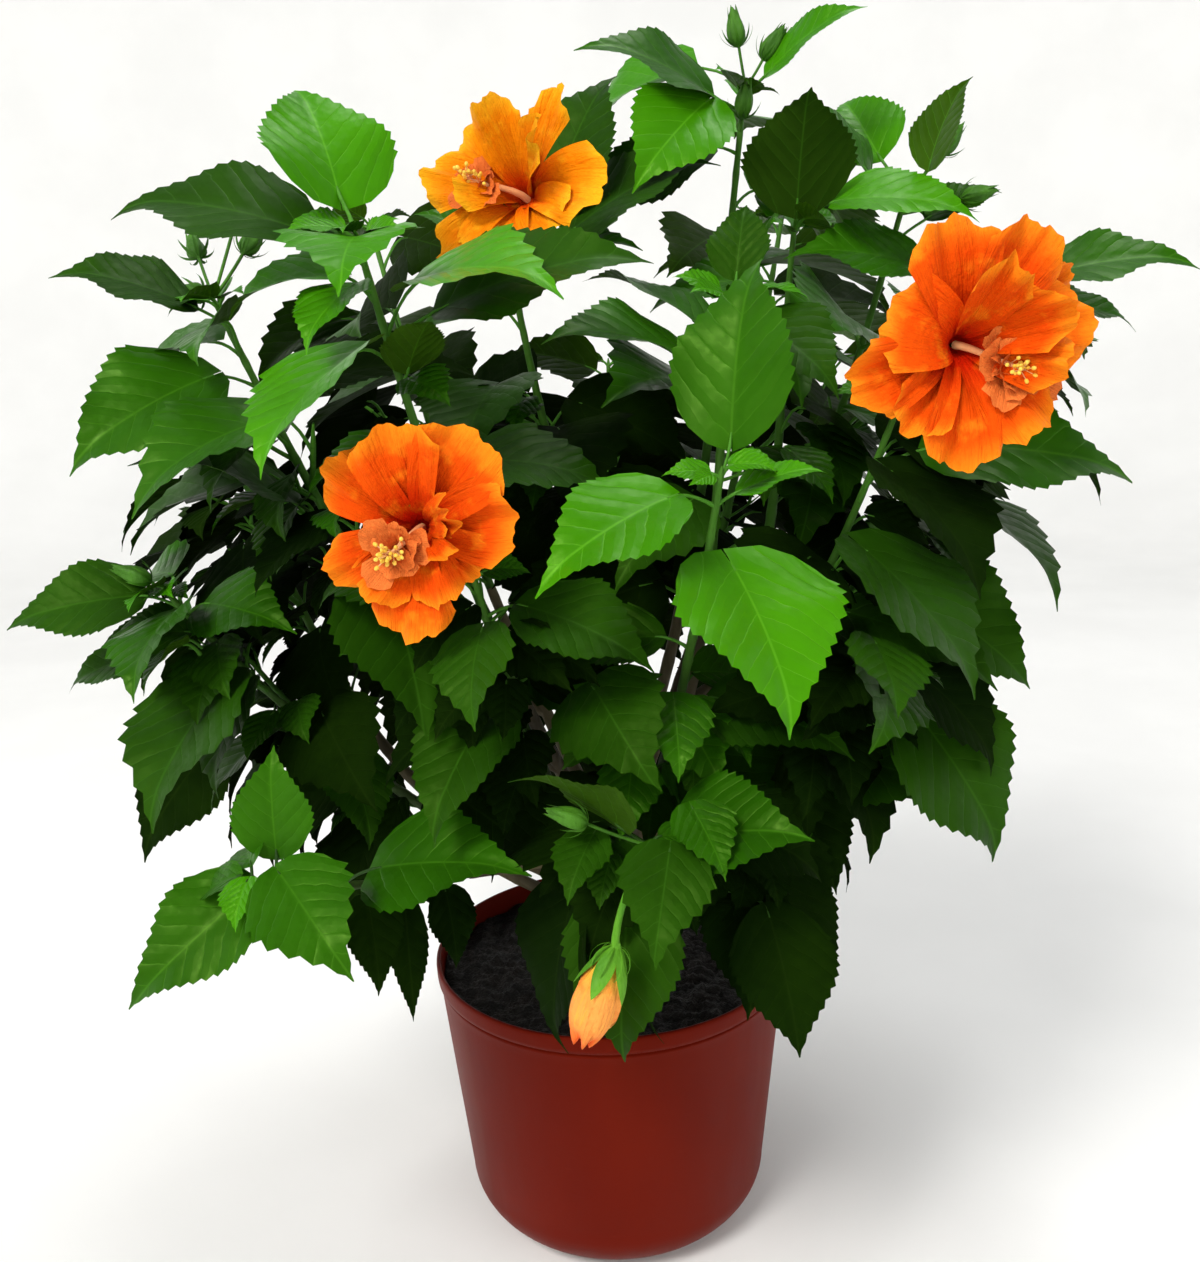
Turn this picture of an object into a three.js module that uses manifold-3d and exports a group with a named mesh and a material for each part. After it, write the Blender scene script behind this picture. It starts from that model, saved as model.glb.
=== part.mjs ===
// A hibiscus shrub in its nursery pot: a short main stem, tapering boughs that fork from it or from
// each other, a mass of foliage on each bough, three open double blooms and one opening bud.
// Millimetres, +Z up, the origin at the middle of the pot's flat underside.
import * as THREE from "three";
import { mergeVertices } from "three/addons/utils/BufferGeometryUtils.js";
import Module from "manifold-3d";

const wasm = await Module();
wasm.setup();

// ---------------------------------------------------------------- driving sizes
const GAP = 0.3; // between neighbouring solids

const POT = {
  height: 200,
  rimRadius: 128,
  rimBand: 12,
  shoulderRadius: 127,
  footRadius: 110,
  footRound: [42, 36], // across and up
  footSteps: 3,
  wall: 2.6,
  floor: 3,
  grooveWidth: 2,
  grooveDepth: 1.2,
  segments: 24,
  notches: 4,
  notchWidth: 14,
  notchHeight: 5,
  notchAzimuth: -99,
};
const SOIL_LEVEL = 186;

const MAIN_STEM = {
  top: [6, -4, 292], footRadius: 15, topRadius: 9.5, flare: 6, flareHeight: 22, sides: 9, steps: 6,
};
const BOUGH = { rootRadius: 5.2, forkRadius: 4.4, tipRadius: 3.6, sides: 4, steps: 4 };
const STEM = { rootRadius: 3.4, tipRadius: 1.7, sides: 4, steps: 3 };
const TWIG = { rootRadius: 1.9, tipRadius: 1.5, footRadius: 1, sides: 4, steps: 1 };
const STALK = { footRadius: 0.55, radius: 1.15 }; // of a leaf
const BARE = 0.4; // of a limb's whole curve that is bough, below its foliage

const LEAF = {
  halfWidth: 0.4, // of the blade's length
  thickness: 2,
  shoulder: 0.28, // where along the blade it is widest
  crest: 0.42,
  taperFrom: 0.68, // where its drawn-out tip begins
  taperWidth: 0.62, // of the half width, there
};
const RULE = {
  seed: 2718,
  goldenAngle: 137.5,
  nodeGap: 19, // along a stem, between two leaves of the rule
  lowest: 260, // the heights between which the blades turn from hanging to level
  highest: 740,
  lowRise: -40,
  highRise: -6,
  facing: 34, // how far a blade turns its upper face outwards
  length: [78, 108],
  stalk: [0.26, 0.42], // of the blade's length
  outwardPull: 0.3, // how far a leaf turns from its place in the spiral to the light
  twigLength: [55, 90],
  twigLeaves: 4,
};
const CLEAR = { otherMass: 7, ownMass: 4, limb: 6, pot: 7, bloom: 4, reach: 170 };
const CROWN = { centre: [-8, 20, 480], half: [400, 320, 352], power: 3 };

// Each shoot is one limb, from its fork on another limb to its apex: a bough below and a mass of
// foliage on the stem above, with some side twigs. The leaves and buds that shape the crown's
// outline are set: [place on the stem, azimuth, rise, length, half width, roll, stalk].
const SHOOTS = {
  front: {
    fork: ["main_stem", 0.5], apex: [63, -215, 567], twigs: 0, nodeGap: 56,
    leaves: [
      [0.93, 60, 70, 100, 0.34], [0.9, -150, -24, 88, 0.34, -25], [0.75, -68, -48, 94, 0.47],
      [0.9, -10, 15, 45, 0.3, 25], [0.5, 170, -10, 60, 0.36, -35], [0.3, -30, -15, 85, 0.38, 30],
    ],
  },
  left_front: {
    fork: ["main_stem", 0.58], apex: [-66, -185, 512], twigs: 2,
    leaves: [[0.85, -25, -20, 80, 0.36, 28], [0.5, -120, -40, 85, 0.38]],
  },
  right_front: {
    fork: ["main_stem", 0.64], apex: [168, -150, 596], twigs: 1,
    leaves: [[0.38, -40, -17, 98, 0.39, 22], [0.8, -6, -8, 114, 0.3, 38]],
  },
  left_tall: {
    fork: ["main_stem", 0.8], apex: [-114, -190, 688], twigs: 1,
    leaves: [
      [1, 124, 54, 74, 0.46], [0.88, -120, -37, 50, 0.42], [0.93, 175, 10, 100, 0.34, -35, 34],
      [0.78, -9, 12, 110, 0.3, 40], [0.7, -60, 35, 44, 0.38],
    ],
  },
  top: {
    fork: ["main_stem", 0.98], apex: [103, 0, 785], twigs: 2,
    leaves: [
      [0.93, -165, 19, 88, 0.35, -38], [0.97, -29, 28, 68, 0.3, 40], [0.94, -140, -40, 84, 0.38, -40, 30],
      [0.86, 180, -28, 96, 0.36, -40, 20], [1, 150, -20, 100, 0.42, -35, 45],
    ],
    buds: [[1, 180, 80, 42], [0.99, -5, 55, 40], [0.9, -80, 60, 30]],
  },
  top_left: {
    fork: ["top", 0.1], apex: [-49, -40, 690], twigs: 1,
    leaves: [
      [0.95, 180, 28, 50, 0.38, -35], [0.97, 110, 70, 50, 0.34], [0.9, 0, 25, 100, 0.36, 35, 45],
      [0.93, 30, 60, 100, 0.36, 30, 45],
    ],
  },
  top_right: {
    fork: ["main_stem", 0.75], apex: [197, -30, 709], twigs: 1,
    leaves: [
      [0.97, -53, 60, 52, 0.4, 0, 34], [0.9, 10, 20, 52, 0.32, 30, 30], [0.98, 170, 52, 56, 0.4, -20, 34],
      [1, 105, 40, 72, 0.36, -35, 45],
    ],
    buds: [[1, 15, 49, 56], [0.97, 0, 12, 58]],
  },
  left_mid: {
    fork: ["main_stem", 0.42], apex: [-255, -120, 500], twigs: 1,
    leaves: [
      [0.92, -172, -9, 80, 0.32, -42], [0.8, 180, -5, 54, 0.36, -35], [0.9, -34, -7, 70, 0.36, 40],
      [0.6, -165, -14, 50, 0.36, -45], [0.35, -57, -60, 62, 0.36], [0.45, -154, -43, 66, 0.36],
      [0.7, 180, -20, 72, 0.3, -35, 45],
    ],
    buds: [[1, 180, 24, 26], [0.93, -174, -25, 40]],
  },
  back_left_tall: { fork: ["main_stem", 0.88], apex: [-165, 150, 730], twigs: 2 },
  back_right_tall: { fork: ["main_stem", 0.84], apex: [155, 175, 730], twigs: 2 },
  back: { fork: ["main_stem", 0.7], apex: [15, 225, 620], twigs: 2 },
  low_right_side: {
    fork: ["main_stem", 0.3], apex: [190, -35, 430], twigs: 1,
    leaves: [[0.05, -62, -70, 72, 0.34], [0.5, -40, -60, 66, 0.38, 30]],
  },
  low_left_side: {
    fork: ["main_stem", 0.26], apex: [-235, 0, 385], twigs: 1,
    leaves: [[0.9, -150, -50, 100, 0.36, -35, 45]],
  },
  back_low_left: { fork: ["main_stem", 0.36], apex: [-140, 200, 370], twigs: 1 },
  back_low_right: { fork: ["main_stem", 0.36], apex: [140, 195, 360], twigs: 1 },
  left_upper: {
    fork: ["left_tall", 0.22], apex: [-207, -120, 660], twigs: 1,
    leaves: [
      [0.92, -160, 16, 72, 0.36, -28], [0.75, -146, -28, 92, 0.4, -38], [0.33, -143, 22, 94, 0.42, -22],
      [0.17, -65, -54, 93, 0.42, 0, 50], [0.7, 0, 2, 96, 0.3, 30],
    ],
    buds: [[1, 75, 55, 84], [1, 118, 39, 58], [1, 140, 12, 30], [1, 54, 47, 54]],
  },
  left_side: { fork: ["left_mid", 0.24], apex: [-250, 30, 560], twigs: 1 },
  centre: {
    fork: ["front", 0.3], apex: [82, -104, 652], twigs: 0,
    leaves: [
      [0.75, -147, 10, 96, 0.36, -30], [0.9, -48, -34, 70, 0.4, 30], [0.85, 150, 25, 80, 0.42],
      [1, 70, 60, 50, 0.36],
    ],
  },
  top_front: {
    fork: ["top_right", 0.24], apex: [128, -38, 696], twigs: 0,
    leaves: [
      [0.97, -91, 55, 72, 0.46], [1, -30, -10, 84, 0.34, 30, 30],
      [0.8, 170, -10, 70, 0.36, -30],
    ],
  },
  right_outer: {
    fork: ["top_right", 0.14], apex: [248, -62, 652], twigs: 1,
    leaves: [
      [0.97, -22, 4, 88, 0.3, 34, 26], [0.9, -8, -14, 60, 0.34, 30, 34],
      [0.95, -176, 8, 84, 0.34, -38, 50], [0.12, -20, -37, 106, 0.39, 45],
    ],
    buds: [[0.3, -125, 20, 34]],
  },
  right_mid: {
    fork: ["right_front", 0.2], apex: [155, -180, 450], twigs: 1,
    leaves: [[0.75, -20, -58, 100, 0.4, 45], [0.2, -35, -8, 89, 0.38, 30], [0.05, -57, -55, 70, 0.38, 20]],
  },
  back_left: { fork: ["back_left_tall", 0.2], apex: [-270, 140, 510], twigs: 1 },
  back_right: { fork: ["back_right_tall", 0.2], apex: [265, 120, 510], twigs: 1 },
  front_low: {
    fork: ["front", 0.16], apex: [22, -222, 372], twigs: 1,
    leaves: [
      [0.94, -169, 33, 66, 0.42, 30], [0.8, -32, 13, 76, 0.45, 35], [0.45, -105, -70, 92, 0.36, 0, 36],
      [0.4, -150, -80, 100, 0.38, 0, 45],
    ],
    buds: [[0.98, -171, 25, 56]],
  },
  low_left: {
    fork: ["left_front", 0.16], apex: [-196, -208, 350], twigs: 0, nodeGap: 60,
    leaves: [
      [0.88, 90, 82, 60, 0.37], [0.75, -155, -36, 92, 0.31, -40], [0.6, -24, 8, 96, 0.36, 35],
      [0.33, -77, -73, 72, 0.16], [0.17, -60, -76, 50, 0.3], [0.5, -72, -67, 56, 0.3],
    ],
  },
  low_right: {
    fork: ["right_mid", 0.2], apex: [80, -190, 322], twigs: 0,
    leaves: [
      [0.6, -45, -62, 74, 0.38], [0.95, -75, -55, 76, 0.38],
      [0.85, -170, -84, 84, 0.36, 0, 50], [0.65, -95, -50, 72, 0.36, 0, 20],
    ],
  },
};

// Each bloom ends a shoot: its middle, the way it faces, and the radius of its outer petals.
const BLOOMS = {
  bloom_top: { shoot: "top_left", middle: [-38, -110, 715], facing: [-115, 25], radius: 52 },
  bloom_left: { shoot: "left_front", middle: [-88, -230, 543], facing: [-95, 5], radius: 54 },
  bloom_right: { shoot: "right_front", middle: [185, -208, 621], facing: [-85, 0], radius: 62 },
};
const BLOOM = {
  petals: 5, spread: 18, width: 0.56,
  innerPetals: 3, innerSpread: 56, innerLength: 0.55, innerWidth: 0.6,
  eye: 0.2, depth: 0.3, thickness: 2.4,
};
const OPENING_BUD = { shoot: "front_low", top: [2, -246, 325], tip: [-16, -250, 278], radius: 13.5 };
const GREEN_BUD = { radius: 4.6, half: 10 };

const COLOURS = {
  pot: [0x8a3320, 0.42],
  soil: [0x1d1713, 0.95],
  bark: [0x4b4a2a, 0.85],
  leaves: [0x2c7a1c, 0.4],
  petals: [0xf2701c, 0.6],
};

// ---------------------------------------------------------------- solids and meshes
const vector = (point) => new THREE.Vector3(...point);
const mix = (a, b, part) => a + (b - a) * part;
const clamp01 = (value) => Math.min(Math.max(value, 0), 1);
const radians = (degrees) => (degrees * Math.PI) / 180;

// A closed geometry as a solid, from its positions alone.
function solidOf(geometry) {
  const bare = new THREE.BufferGeometry();
  bare.setAttribute("position", geometry.getAttribute("position"));
  bare.setIndex(geometry.getIndex());
  const closed = mergeVertices(bare, 1e-4);
  const vertProperties = new Float32Array(closed.getAttribute("position").array);
  const triVerts = new Uint32Array(closed.getIndex().array);
  return new wasm.Manifold(new wasm.Mesh({ numProp: 3, vertProperties, triVerts }));
}

function geometryOf(solid) {
  const mesh = solid.getMesh();
  const geometry = new THREE.BufferGeometry();
  geometry.setAttribute("position", new THREE.BufferAttribute(mesh.vertProperties, 3));
  geometry.setIndex(new THREE.BufferAttribute(mesh.triVerts, 1));
  geometry.computeVertexNormals();
  return geometry;
}

function indexed(points, faces) {
  const geometry = new THREE.BufferGeometry();
  geometry.setAttribute("position", new THREE.Float32BufferAttribute(points.flatMap((p) => p.toArray()), 3));
  geometry.setIndex(faces.flat());
  return geometry;
}

// The solids joined, without the scraps and sealed hollows that joining can leave.
function fused(solids) {
  const parts = wasm.Manifold.union(solids).decompose();
  return parts.reduce((best, part) => (part.volume() > best.volume() ? part : best));
}

function meshOf(name, solid, [colour, roughness]) {
  const material = new THREE.MeshStandardMaterial({ color: colour, roughness, metalness: 0 });
  const mesh = new THREE.Mesh(geometryOf(solid), material);
  mesh.name = name;
  return mesh;
}

const taper = (from, to) => (part) => mix(from, to, part);

// Corners round a curve, each ring at its own radius, closed by a flat end at both.
function limbSolid({ curve, radiusAt, sides, steps }) {
  const frames = curve.computeFrenetFrames(steps, false);
  const points = [];
  for (let step = 0; step <= steps; step++) {
    const middle = curve.getPointAt(step / steps);
    for (let side = 0; side < sides; side++) {
      const turn = (2 * Math.PI * side) / sides;
      const corner = middle.clone();
      corner.addScaledVector(frames.normals[step], radiusAt(step / steps) * Math.cos(turn));
      corner.addScaledVector(frames.binormals[step], radiusAt(step / steps) * Math.sin(turn));
      points.push(corner);
    }
  }
  const faces = [];
  for (let step = 0; step < steps; step++) {
    for (let side = 0; side < sides; side++) {
      const here = step * sides + side;
      const beside = step * sides + ((side + 1) % sides);
      faces.push([here, beside, beside + sides], [here, beside + sides, here + sides]);
    }
  }
  const last = steps * sides;
  for (let side = 1; side < sides - 1; side++) {
    faces.push([0, side + 1, side], [last, last + side, last + side + 1]);
  }
  return solidOf(indexed(points, faces));
}

// ---------------------------------------------------------------- pot and soil
const WALL_SLOPE = (POT.shoulderRadius - POT.footRadius) / (POT.height - POT.footRound[1]);
const wallRadius = (height) => POT.shoulderRadius - WALL_SLOPE * (POT.height - height);

// The inside, from a given height down to the axis, as [radius, height].
function potInside(top, clearance = 0) {
  const [across, up] = POT.footRound;
  return [
    [wallRadius(top) - POT.wall - clearance, top],
    [wallRadius(up) - POT.wall - clearance, up],
    [wallRadius(up) - 0.3 * across - POT.wall - clearance, 0.3 * up + clearance],
    [POT.footRadius - across - 1 - clearance, POT.floor + clearance],
    [0, POT.floor + clearance],
  ];
}

// The outer profile runs from the axis along the underside, round the foot and up to the lip.
function potSolid() {
  const [across, up] = POT.footRound;
  const band = POT.height - POT.rimBand;
  const groove = wallRadius(band) - POT.grooveDepth;
  const profile = [[0, 0]];
  for (let step = 0; step <= POT.footSteps; step++) {
    const turn = (Math.PI / 2) * (step / POT.footSteps);
    profile.push([POT.footRadius - across * (1 - Math.sin(turn)), up * (1 - Math.cos(turn))]);
  }
  profile.push(
    [wallRadius(band - POT.grooveWidth), band - POT.grooveWidth],
    [groove, band - POT.grooveWidth],
    [groove, band],
    [POT.rimRadius - WALL_SLOPE * POT.rimBand, band],
    [POT.rimRadius, POT.height],
    ...potInside(POT.height),
  );
  const points = profile.map(([radius, height]) => new THREE.Vector2(radius, height));
  const shell = solidOf(new THREE.LatheGeometry(points, POT.segments).rotateX(Math.PI / 2));
  const notches = [];
  for (let notch = 0; notch < POT.notches; notch++) {
    const box = new THREE.BoxGeometry(34, POT.notchWidth, 2 * POT.notchHeight);
    box.translate(POT.footRadius - across + 12, 0, 0);
    box.rotateZ(radians(POT.notchAzimuth + (360 * notch) / POT.notches));
    notches.push(solidOf(box));
  }
  return shell.subtract(wasm.Manifold.union(notches));
}

function soilSolid() {
  const profile = [[0, SOIL_LEVEL], ...potInside(SOIL_LEVEL, GAP)].reverse();
  const points = profile.map(([radius, height]) => new THREE.Vector2(radius, height));
  return solidOf(new THREE.LatheGeometry(points, POT.segments).rotateX(Math.PI / 2));
}

// ---------------------------------------------------------------- limbs
// A stretch of a longer curve, so that a bough and the stem beyond it lie on one line.
class Stretch extends THREE.Curve {
  constructor(whole, from, to) {
    super();
    this.whole = whole;
    this.from = from;
    this.to = to;
  }

  getPoint(part, target = new THREE.Vector3()) {
    return this.whole.getPoint(mix(this.from, this.to, part), target);
  }
}

function mainStem() {
  const foot = new THREE.Vector3(0, 0, SOIL_LEVEL + GAP);
  const top = vector(MAIN_STEM.top);
  const height = top.z - foot.z;
  const curve = new THREE.QuadraticBezierCurve3(foot, new THREE.Vector3(0, 0, foot.z + 0.6 * height), top);
  const radiusAt = (part) => {
    const flare = MAIN_STEM.flare * Math.max(0, 1 - (part * height) / MAIN_STEM.flareHeight) ** 2;
    return mix(MAIN_STEM.footRadius, MAIN_STEM.topRadius, part) + flare;
  };
  return { curve, radiusAt, sides: MAIN_STEM.sides, steps: MAIN_STEM.steps };
}

// The whole curve of a limb: it leaves its fork outwards, the more so the flatter it runs, and
// turns up again towards its apex.
function wholeCurve(shoot, parent) {
  const start = parent.getPoint(shoot.fork[1]);
  const apex = vector(shoot.apex);
  const way = apex.clone().sub(start);
  const span = way.length();
  way.divideScalar(span);
  const outward = new THREE.Vector3(way.x, way.y, 0);
  const leaving = parent.getTangent(shoot.fork[1]).multiplyScalar(0.4);
  leaving.addScaledVector(way, 0.6).addScaledVector(outward, 1.2).normalize();
  const arriving = way.clone();
  arriving.z += 0.6 * way.z;
  arriving.normalize();
  return new THREE.CubicBezierCurve3(
    start,
    start.clone().addScaledVector(leaving, 0.36 * span),
    apex.clone().addScaledVector(arriving, -0.33 * span),
    apex,
  );
}

// The bough below and the stem above, with a small gap between them.
function limbPair(shoot, whole) {
  const root = shoot.fork[0] === "main_stem" ? BOUGH.rootRadius : BOUGH.forkRadius;
  const gap = (1.3 * GAP) / whole.getLength();
  const { sides, steps } = BOUGH;
  return {
    bough: { curve: new Stretch(whole, 0, BARE), radiusAt: taper(root, BOUGH.tipRadius), sides, steps },
    stem: {
      curve: new Stretch(whole, BARE + gap, 1),
      radiusAt: taper(STEM.rootRadius, STEM.tipRadius),
      sides: STEM.sides,
      steps: STEM.steps,
    },
  };
}

// The bough, cut clear of the limb that it forks from.
function boughSolid(bough, parent) {
  const grown = { ...parent, radiusAt: (part) => parent.radiusAt(part) + GAP };
  return fused([limbSolid(bough).subtract(limbSolid(grown))]);
}

// ---------------------------------------------------------------- blades
const spanAt = (along) => {
  if (along < LEAF.shoulder) return along / LEAF.shoulder;
  if (along < LEAF.taperFrom) {
    return mix(1, LEAF.taperWidth, (along - LEAF.shoulder) / (LEAF.taperFrom - LEAF.shoulder));
  }
  return mix(LEAF.taperWidth, 0, (along - LEAF.taperFrom) / (1 - LEAF.taperFrom));
};

const heading = (azimuth, rise) => new THREE.Vector3(
  Math.cos(radians(azimuth)) * Math.cos(radians(rise)),
  Math.sin(radians(azimuth)) * Math.cos(radians(rise)),
  Math.sin(radians(rise)),
);

// A blade lies on an arc over its chord and folds up from its midrib. across is in half widths.
function bladePoint(blade, along, across) {
  const radius = blade.length / (2 * Math.sin(blade.bend / 2));
  const turn = blade.bend * (along - 0.5);
  const forward = radius * (Math.sin(blade.bend / 2) + Math.sin(turn));
  const lift = radius * (Math.cos(turn) - Math.cos(blade.bend / 2));
  const sideways = across * blade.half;
  return blade.base.clone()
    .addScaledVector(blade.chord, forward)
    .addScaledVector(blade.up, lift + blade.fold * Math.abs(sideways))
    .addScaledVector(blade.side, sideways);
}

// A leaf's blade: its chord's heading, turned about that chord by its roll.
function leafBlade(base, leaf) {
  const level = heading(leaf.azimuth + 90, 0);
  const above = heading(leaf.azimuth, leaf.rise + 90);
  const turn = radians(leaf.roll);
  const side = level.clone().multiplyScalar(Math.cos(turn)).addScaledVector(above, Math.sin(turn));
  const up = above.clone().multiplyScalar(Math.cos(turn)).addScaledVector(level, -Math.sin(turn));
  return {
    base, side, up,
    chord: heading(leaf.azimuth, leaf.rise),
    length: leaf.length,
    half: leaf.half * leaf.length,
    bend: leaf.bend,
    fold: leaf.fold,
  };
}

// A leaf is one body: a three-sided stalk that opens into a thin blade with an upper and a lower crest.
function leafSolid({ foot, blade, stalkRise, azimuth }) {
  const { base, side, up } = blade;
  const level = heading(azimuth + 90, 0);
  const above = heading(azimuth, stalkRise + 90);
  const between = above.clone().add(up).normalize();
  const points = [
    foot.clone().addScaledVector(level, -STALK.footRadius),
    foot.clone().addScaledVector(level, STALK.footRadius),
    foot.clone().addScaledVector(above, -1.3 * STALK.footRadius),
    base.clone().addScaledVector(side, -STALK.radius),
    base.clone().addScaledVector(side, STALK.radius),
    base.clone().addScaledVector(between, -1.3 * STALK.radius),
    bladePoint(blade, LEAF.shoulder, -1),
    bladePoint(blade, LEAF.taperFrom, -LEAF.taperWidth),
    bladePoint(blade, 1, 0),
    bladePoint(blade, LEAF.taperFrom, LEAF.taperWidth),
    bladePoint(blade, LEAF.shoulder, 1),
    bladePoint(blade, LEAF.crest, 0).addScaledVector(up, LEAF.thickness / 2),
    bladePoint(blade, LEAF.crest, 0).addScaledVector(up, -LEAF.thickness / 2),
  ];
  const [upper, lower] = [11, 12];
  const faces = [[0, 1, 2]];
  for (const [here, beside] of [[0, 1], [1, 2], [2, 0]]) {
    faces.push([here, here + 3, beside + 3], [here, beside + 3, beside]);
  }
  const edge = [3, 6, 7, 8, 9, 10, 4];
  for (let corner = 0; corner + 1 < edge.length; corner++) {
    faces.push([edge[corner], edge[corner + 1], upper], [edge[corner + 1], edge[corner], lower]);
  }
  faces.push([4, 3, upper], [3, 5, lower], [5, 4, lower]);
  return solidOf(indexed(points, faces));
}

// ---------------------------------------------------------------- growth
// A repeatable stream of numbers from 0 to 1.
function randomStream(seed) {
  let state = seed >>> 0;
  return () => {
    state = (state + 0x6d2b79f5) >>> 0;
    let mixed = Math.imul(state ^ (state >>> 15), state | 1);
    mixed ^= mixed + Math.imul(mixed ^ (mixed >>> 7), mixed | 61);
    return ((mixed ^ (mixed >>> 14)) >>> 0) / 4294967296;
  };
}

const SAMPLE_ROWS = [1 / 8, 1 / 4, 3 / 8, 1 / 2, 5 / 8, 3 / 4, 7 / 8];
const SAMPLE_COLUMNS = [-1, -2 / 3, -1 / 3, 0, 1 / 3, 2 / 3, 1];

function bladeSamples(blade) {
  const samples = [bladePoint(blade, 0, 0), bladePoint(blade, 1, 0)];
  for (const along of SAMPLE_ROWS) {
    for (const column of SAMPLE_COLUMNS) samples.push(bladePoint(blade, along, column * spanAt(along)));
  }
  return samples;
}

const lineSamples = (from, to, parts) => parts.map((part) => from.clone().lerp(to, part));

function limbSamples(limb, count) {
  const samples = [];
  for (let step = 0; step <= count; step++) {
    const part = step / count;
    samples.push({ point: limb.curve.getPoint(part), radius: limb.radiusAt(part) });
  }
  return samples;
}

function nearest(points, others) {
  let best = Infinity;
  for (const point of points) {
    for (const other of others) best = Math.min(best, point.distanceToSquared(other));
  }
  return Math.sqrt(best);
}

function insideCrown(point) {
  let sum = 0;
  for (const [axis, value] of [point.x, point.y, point.z].entries()) {
    sum += (Math.abs(value - CROWN.centre[axis]) / CROWN.half[axis]) ** CROWN.power;
  }
  return sum < 1;
}

function clearOfPot(point) {
  return point.z > POT.height + CLEAR.pot || Math.hypot(point.x, point.y) > POT.rimRadius + CLEAR.pot;
}

// A bloom keeps a flat round space about its middle.
function clearOfBloom(point, bloom) {
  const away = point.clone().sub(bloom.middle);
  const ahead = away.dot(bloom.axis);
  const beside = Math.sqrt(Math.max(away.lengthSq() - ahead * ahead, 0));
  return beside > bloom.radius + CLEAR.bloom || Math.abs(ahead) > 0.5 * bloom.radius + CLEAR.bloom;
}

// Whether a new leaf or twig keeps to the crown and its mass's own space and touches nothing.
function fits(world, mass, blade, stalk) {
  const all = [...blade, ...stalk];
  if (!all.every((point) => insideCrown(point) && clearOfPot(point))) return false;
  if (!all.every((point) => world.blooms.every((bloom) => clearOfBloom(point, bloom)))) return false;
  const stem = world.stems[mass].map((sample) => sample.point);
  if (blade.some((point) => nearest([point], stem) > CLEAR.reach)) return false;
  for (const limb of world.limbs) {
    const own = limb.shoot === mass;
    for (const { point, radius } of limb.samples) {
      if (nearest(own ? blade : all, [point]) < radius + (own ? 0.5 : 1) * CLEAR.limb) return false;
    }
  }
  for (const placed of world.placed) {
    if (placed.mass === mass) {
      if (nearest(blade, placed.blade) < CLEAR.ownMass) return false;
    } else if (nearest(all, placed.all) < CLEAR.otherMass) {
      return false;
    }
  }
  return true;
}

function place(world, mass, blade, stalk, item) {
  world.placed.push({ mass, blade, all: [...blade, ...stalk] });
  world.masses[mass].push(item);
}

// Puts a leaf on a limb: its stalk rises from the limb, and the blade goes on from the stalk's end.
function addLeaf(world, mass, foot, leaf) {
  const base = foot.clone().addScaledVector(heading(leaf.azimuth, leaf.stalkRise), leaf.stalk);
  const blade = leafBlade(base, leaf);
  const samples = bladeSamples(blade);
  const stalkSamples = lineSamples(foot, base, [0.4, 0.7]);
  if (!fits(world, mass, samples, stalkSamples)) return;
  const { stalkRise, azimuth } = leaf;
  place(world, mass, samples, stalkSamples, { kind: "leaf", foot, blade, stalkRise, azimuth });
}

function addSetLeaf(world, mass, [part, azimuth, rise, length, half, roll = 0, stalk = 0.3 * length]) {
  addLeaf(world, mass, world.stemCurves[mass].getPoint(part), {
    azimuth, rise, roll, length, half, stalk,
    bend: 0.5, fold: 0.22, stalkRise: mix(rise, 45, 0.6),
  });
}

function addSetBud(world, mass, [part, azimuth, rise, length]) {
  const foot = world.stemCurves[mass].getPoint(part);
  const tip = foot.clone().addScaledVector(heading(azimuth, rise), length);
  place(world, mass, [], lineSamples(foot, tip, [0.5, 0.75, 1]), { kind: "bud", foot, tip });
}

// The azimuth of the way out of the crown.
const outwardFrom = (foot) =>
  (Math.atan2(foot.y - CROWN.centre[1], foot.x - CROWN.centre[0]) * 180) / Math.PI;

// The azimuth of a spiral turn, pulled towards the outside of the crown.
function pulledOut(foot, turn, pull) {
  const outward = outwardFrom(foot);
  const off = ((((turn - outward) % 360) + 540) % 360) - 180;
  return outward + off * (1 - pull);
}

// The rule's leaf: how far it hangs follows from its height, its size from its place, and its face
// turns outwards.
function addRuledLeaf(world, mass, foot, turn, young, random) {
  const height = clamp01((foot.z - RULE.lowest) / (RULE.highest - RULE.lowest));
  const length = mix(...RULE.length, random()) * mix(1, 0.6, young);
  const azimuth = pulledOut(foot, turn, RULE.outwardPull);
  const off = radians(azimuth - outwardFrom(foot));
  const hang = mix(RULE.lowRise, RULE.highRise, height) + 20 * young;
  addLeaf(world, mass, foot, {
    azimuth,
    rise: hang - 0.6 * RULE.facing * Math.cos(off) + mix(-12, 12, random()),
    roll: RULE.facing * Math.sin(off) + mix(-16, 16, random()),
    length,
    half: LEAF.halfWidth * mix(0.88, 1.14, random()),
    bend: mix(0.35, 0.75, random()),
    fold: mix(0.14, 0.34, random()),
    stalk: length * mix(...RULE.stalk, random()),
    stalkRise: mix(20, 50, random()),
  });
}

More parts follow.
